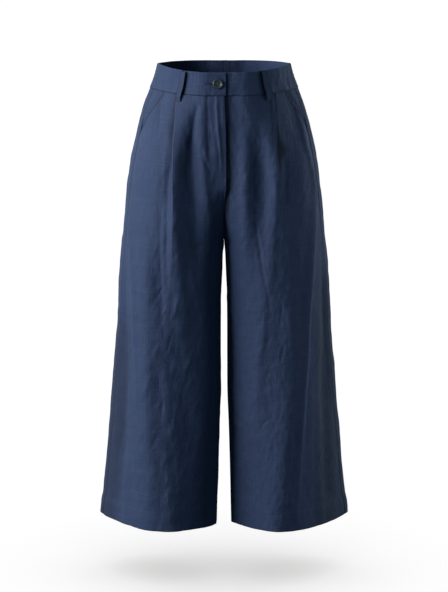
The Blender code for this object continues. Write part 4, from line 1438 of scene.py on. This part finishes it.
studio = {
    "floorZ": -0.975,
    "floorColour": (0.80, 0.80, 0.80),
    "floorGlow": (1, 0.975, 0.965, 1),
    "glowPower": 0.52,
    "skyAngle": math.radians(125),
    "skyPower": 1.885,
    "airColour": (0.66, 0.92, 1.0, 1),
    "airPower": 0.075,
    "target": Vector((0, 0, -0.44)),
    "distance": 7.2,
    "elevation": math.radians(10.5),
    "sensor": 36,
    "focalPixels": 3789,
    "framePixels": 592,
}
# each softbox's place, the height it aims at, its size, power and colour
softboxes = {
    "key": ((-2.75, -1.0, 0.85), -0.35, (2.2, 1.8), 132, (1.0, 0.99, 0.97)),
    "front": ((0.6, -4.2, 0.4), -0.45, (1.6, 1.6), 6, (0.72, 0.94, 1.0)),
    "side": ((2.85, -0.15, -0.60), -0.60, (1.2, 1.2), 25, (0.88, 0.97, 1.0)),
    "edge": ((1.95, 2.30, 0.3), -0.40, (0.6, 1.8), 18, (0.9, 0.97, 1.0)),
    "edgeLeft": ((-1.95, 2.30, 0.3), -0.40, (0.6, 1.8), 10, (0.96, 0.98, 1.0)),
    "behind": ((-0.9, 3.4, 0.6), -0.45, (1.4, 1.6), 30, (1, 1, 1)),
}


def addFloor():
    bm = bmesh.new()
    bmesh.ops.create_grid(bm, x_segments=1, y_segments=1, size=40)
    bmesh.ops.translate(bm, verts=bm.verts, vec=(0, 0, studio["floorZ"]))
    floor = makePiece("floor", bm)
    made, tree, shader = newMaterial("paleFloor", studio["floorColour"], 0.9)
    shader.inputs["Emission Color"].default_value = studio["floorGlow"]
    shader.inputs["Emission Strength"].default_value = studio["glowPower"]
    shader.inputs["Specular IOR Level"].default_value = 0.0
    floor.data.materials.append(made)
    floor.visible_diffuse = False
    floor.visible_glossy = False
    return floor


def addLight(light, lit, place=(0, 0, 0), aim=(0, 0, -1)):
    made = bpy.data.objects.new(light.name, light)
    made.location = place
    made.rotation_euler = (Vector(aim) - Vector(place)).to_track_quat("-Z", "Y").to_euler()
    made.light_linking.receiver_collection = lit
    bpy.context.scene.collection.objects.link(made)


floor = addFloor()
garment = bpy.data.collections.new("garment")
for thing in bpy.context.scene.objects:
    if thing.type == "MESH" and thing != floor:
        garment.objects.link(thing)
ground = bpy.data.collections.new("ground")
ground.objects.link(floor)

for name, (place, aimZ, size, power, colour) in softboxes.items():
    light = bpy.data.lights.new(name, "AREA")
    light.shape = "RECTANGLE"
    light.size, light.size_y = size
    light.energy, light.color = power, colour
    addLight(light, garment, place, (0, 0, aimZ))
sky = bpy.data.lights.new("sky", "SUN")
sky.angle, sky.energy = studio["skyAngle"], studio["skyPower"]
addLight(sky, ground)

# the garment sees a dim sky, and the camera a white one
world = bpy.data.worlds.new("studio")
world.use_nodes = True
tree = world.node_tree
dim = tree.nodes["Background"]
dim.inputs[0].default_value = studio["airColour"]
dim.inputs[1].default_value = studio["airPower"]
bright = addNode(tree, "ShaderNodeBackground", {}, {0: (1, 1, 1, 1)})
seen = addNode(tree, "ShaderNodeLightPath", {}, {})
values = {0: seen, 1: Wire(tree, dim.outputs[0]), 2: bright}
join(tree, addNode(tree, "ShaderNodeMixShader", {}, values), tree.nodes["World Output"].inputs[0])
bpy.context.scene.world = world

back = Vector((0, -math.cos(studio["elevation"]), math.sin(studio["elevation"])))
lens = bpy.data.cameras.new("camera")
lens.sensor_width = lens.sensor_height = studio["sensor"]
lens.lens = studio["focalPixels"] / studio["framePixels"] * studio["sensor"]
lens.clip_end = 100
camera = bpy.data.objects.new("camera", lens)
camera.location = studio["target"] + back * studio["distance"]
camera.rotation_euler = (math.pi / 2 - studio["elevation"], 0, 0)
bpy.context.scene.collection.objects.link(camera)
bpy.context.scene.camera = camera
bpy.context.scene.view_settings.view_transform = "Standard"
report("studio")
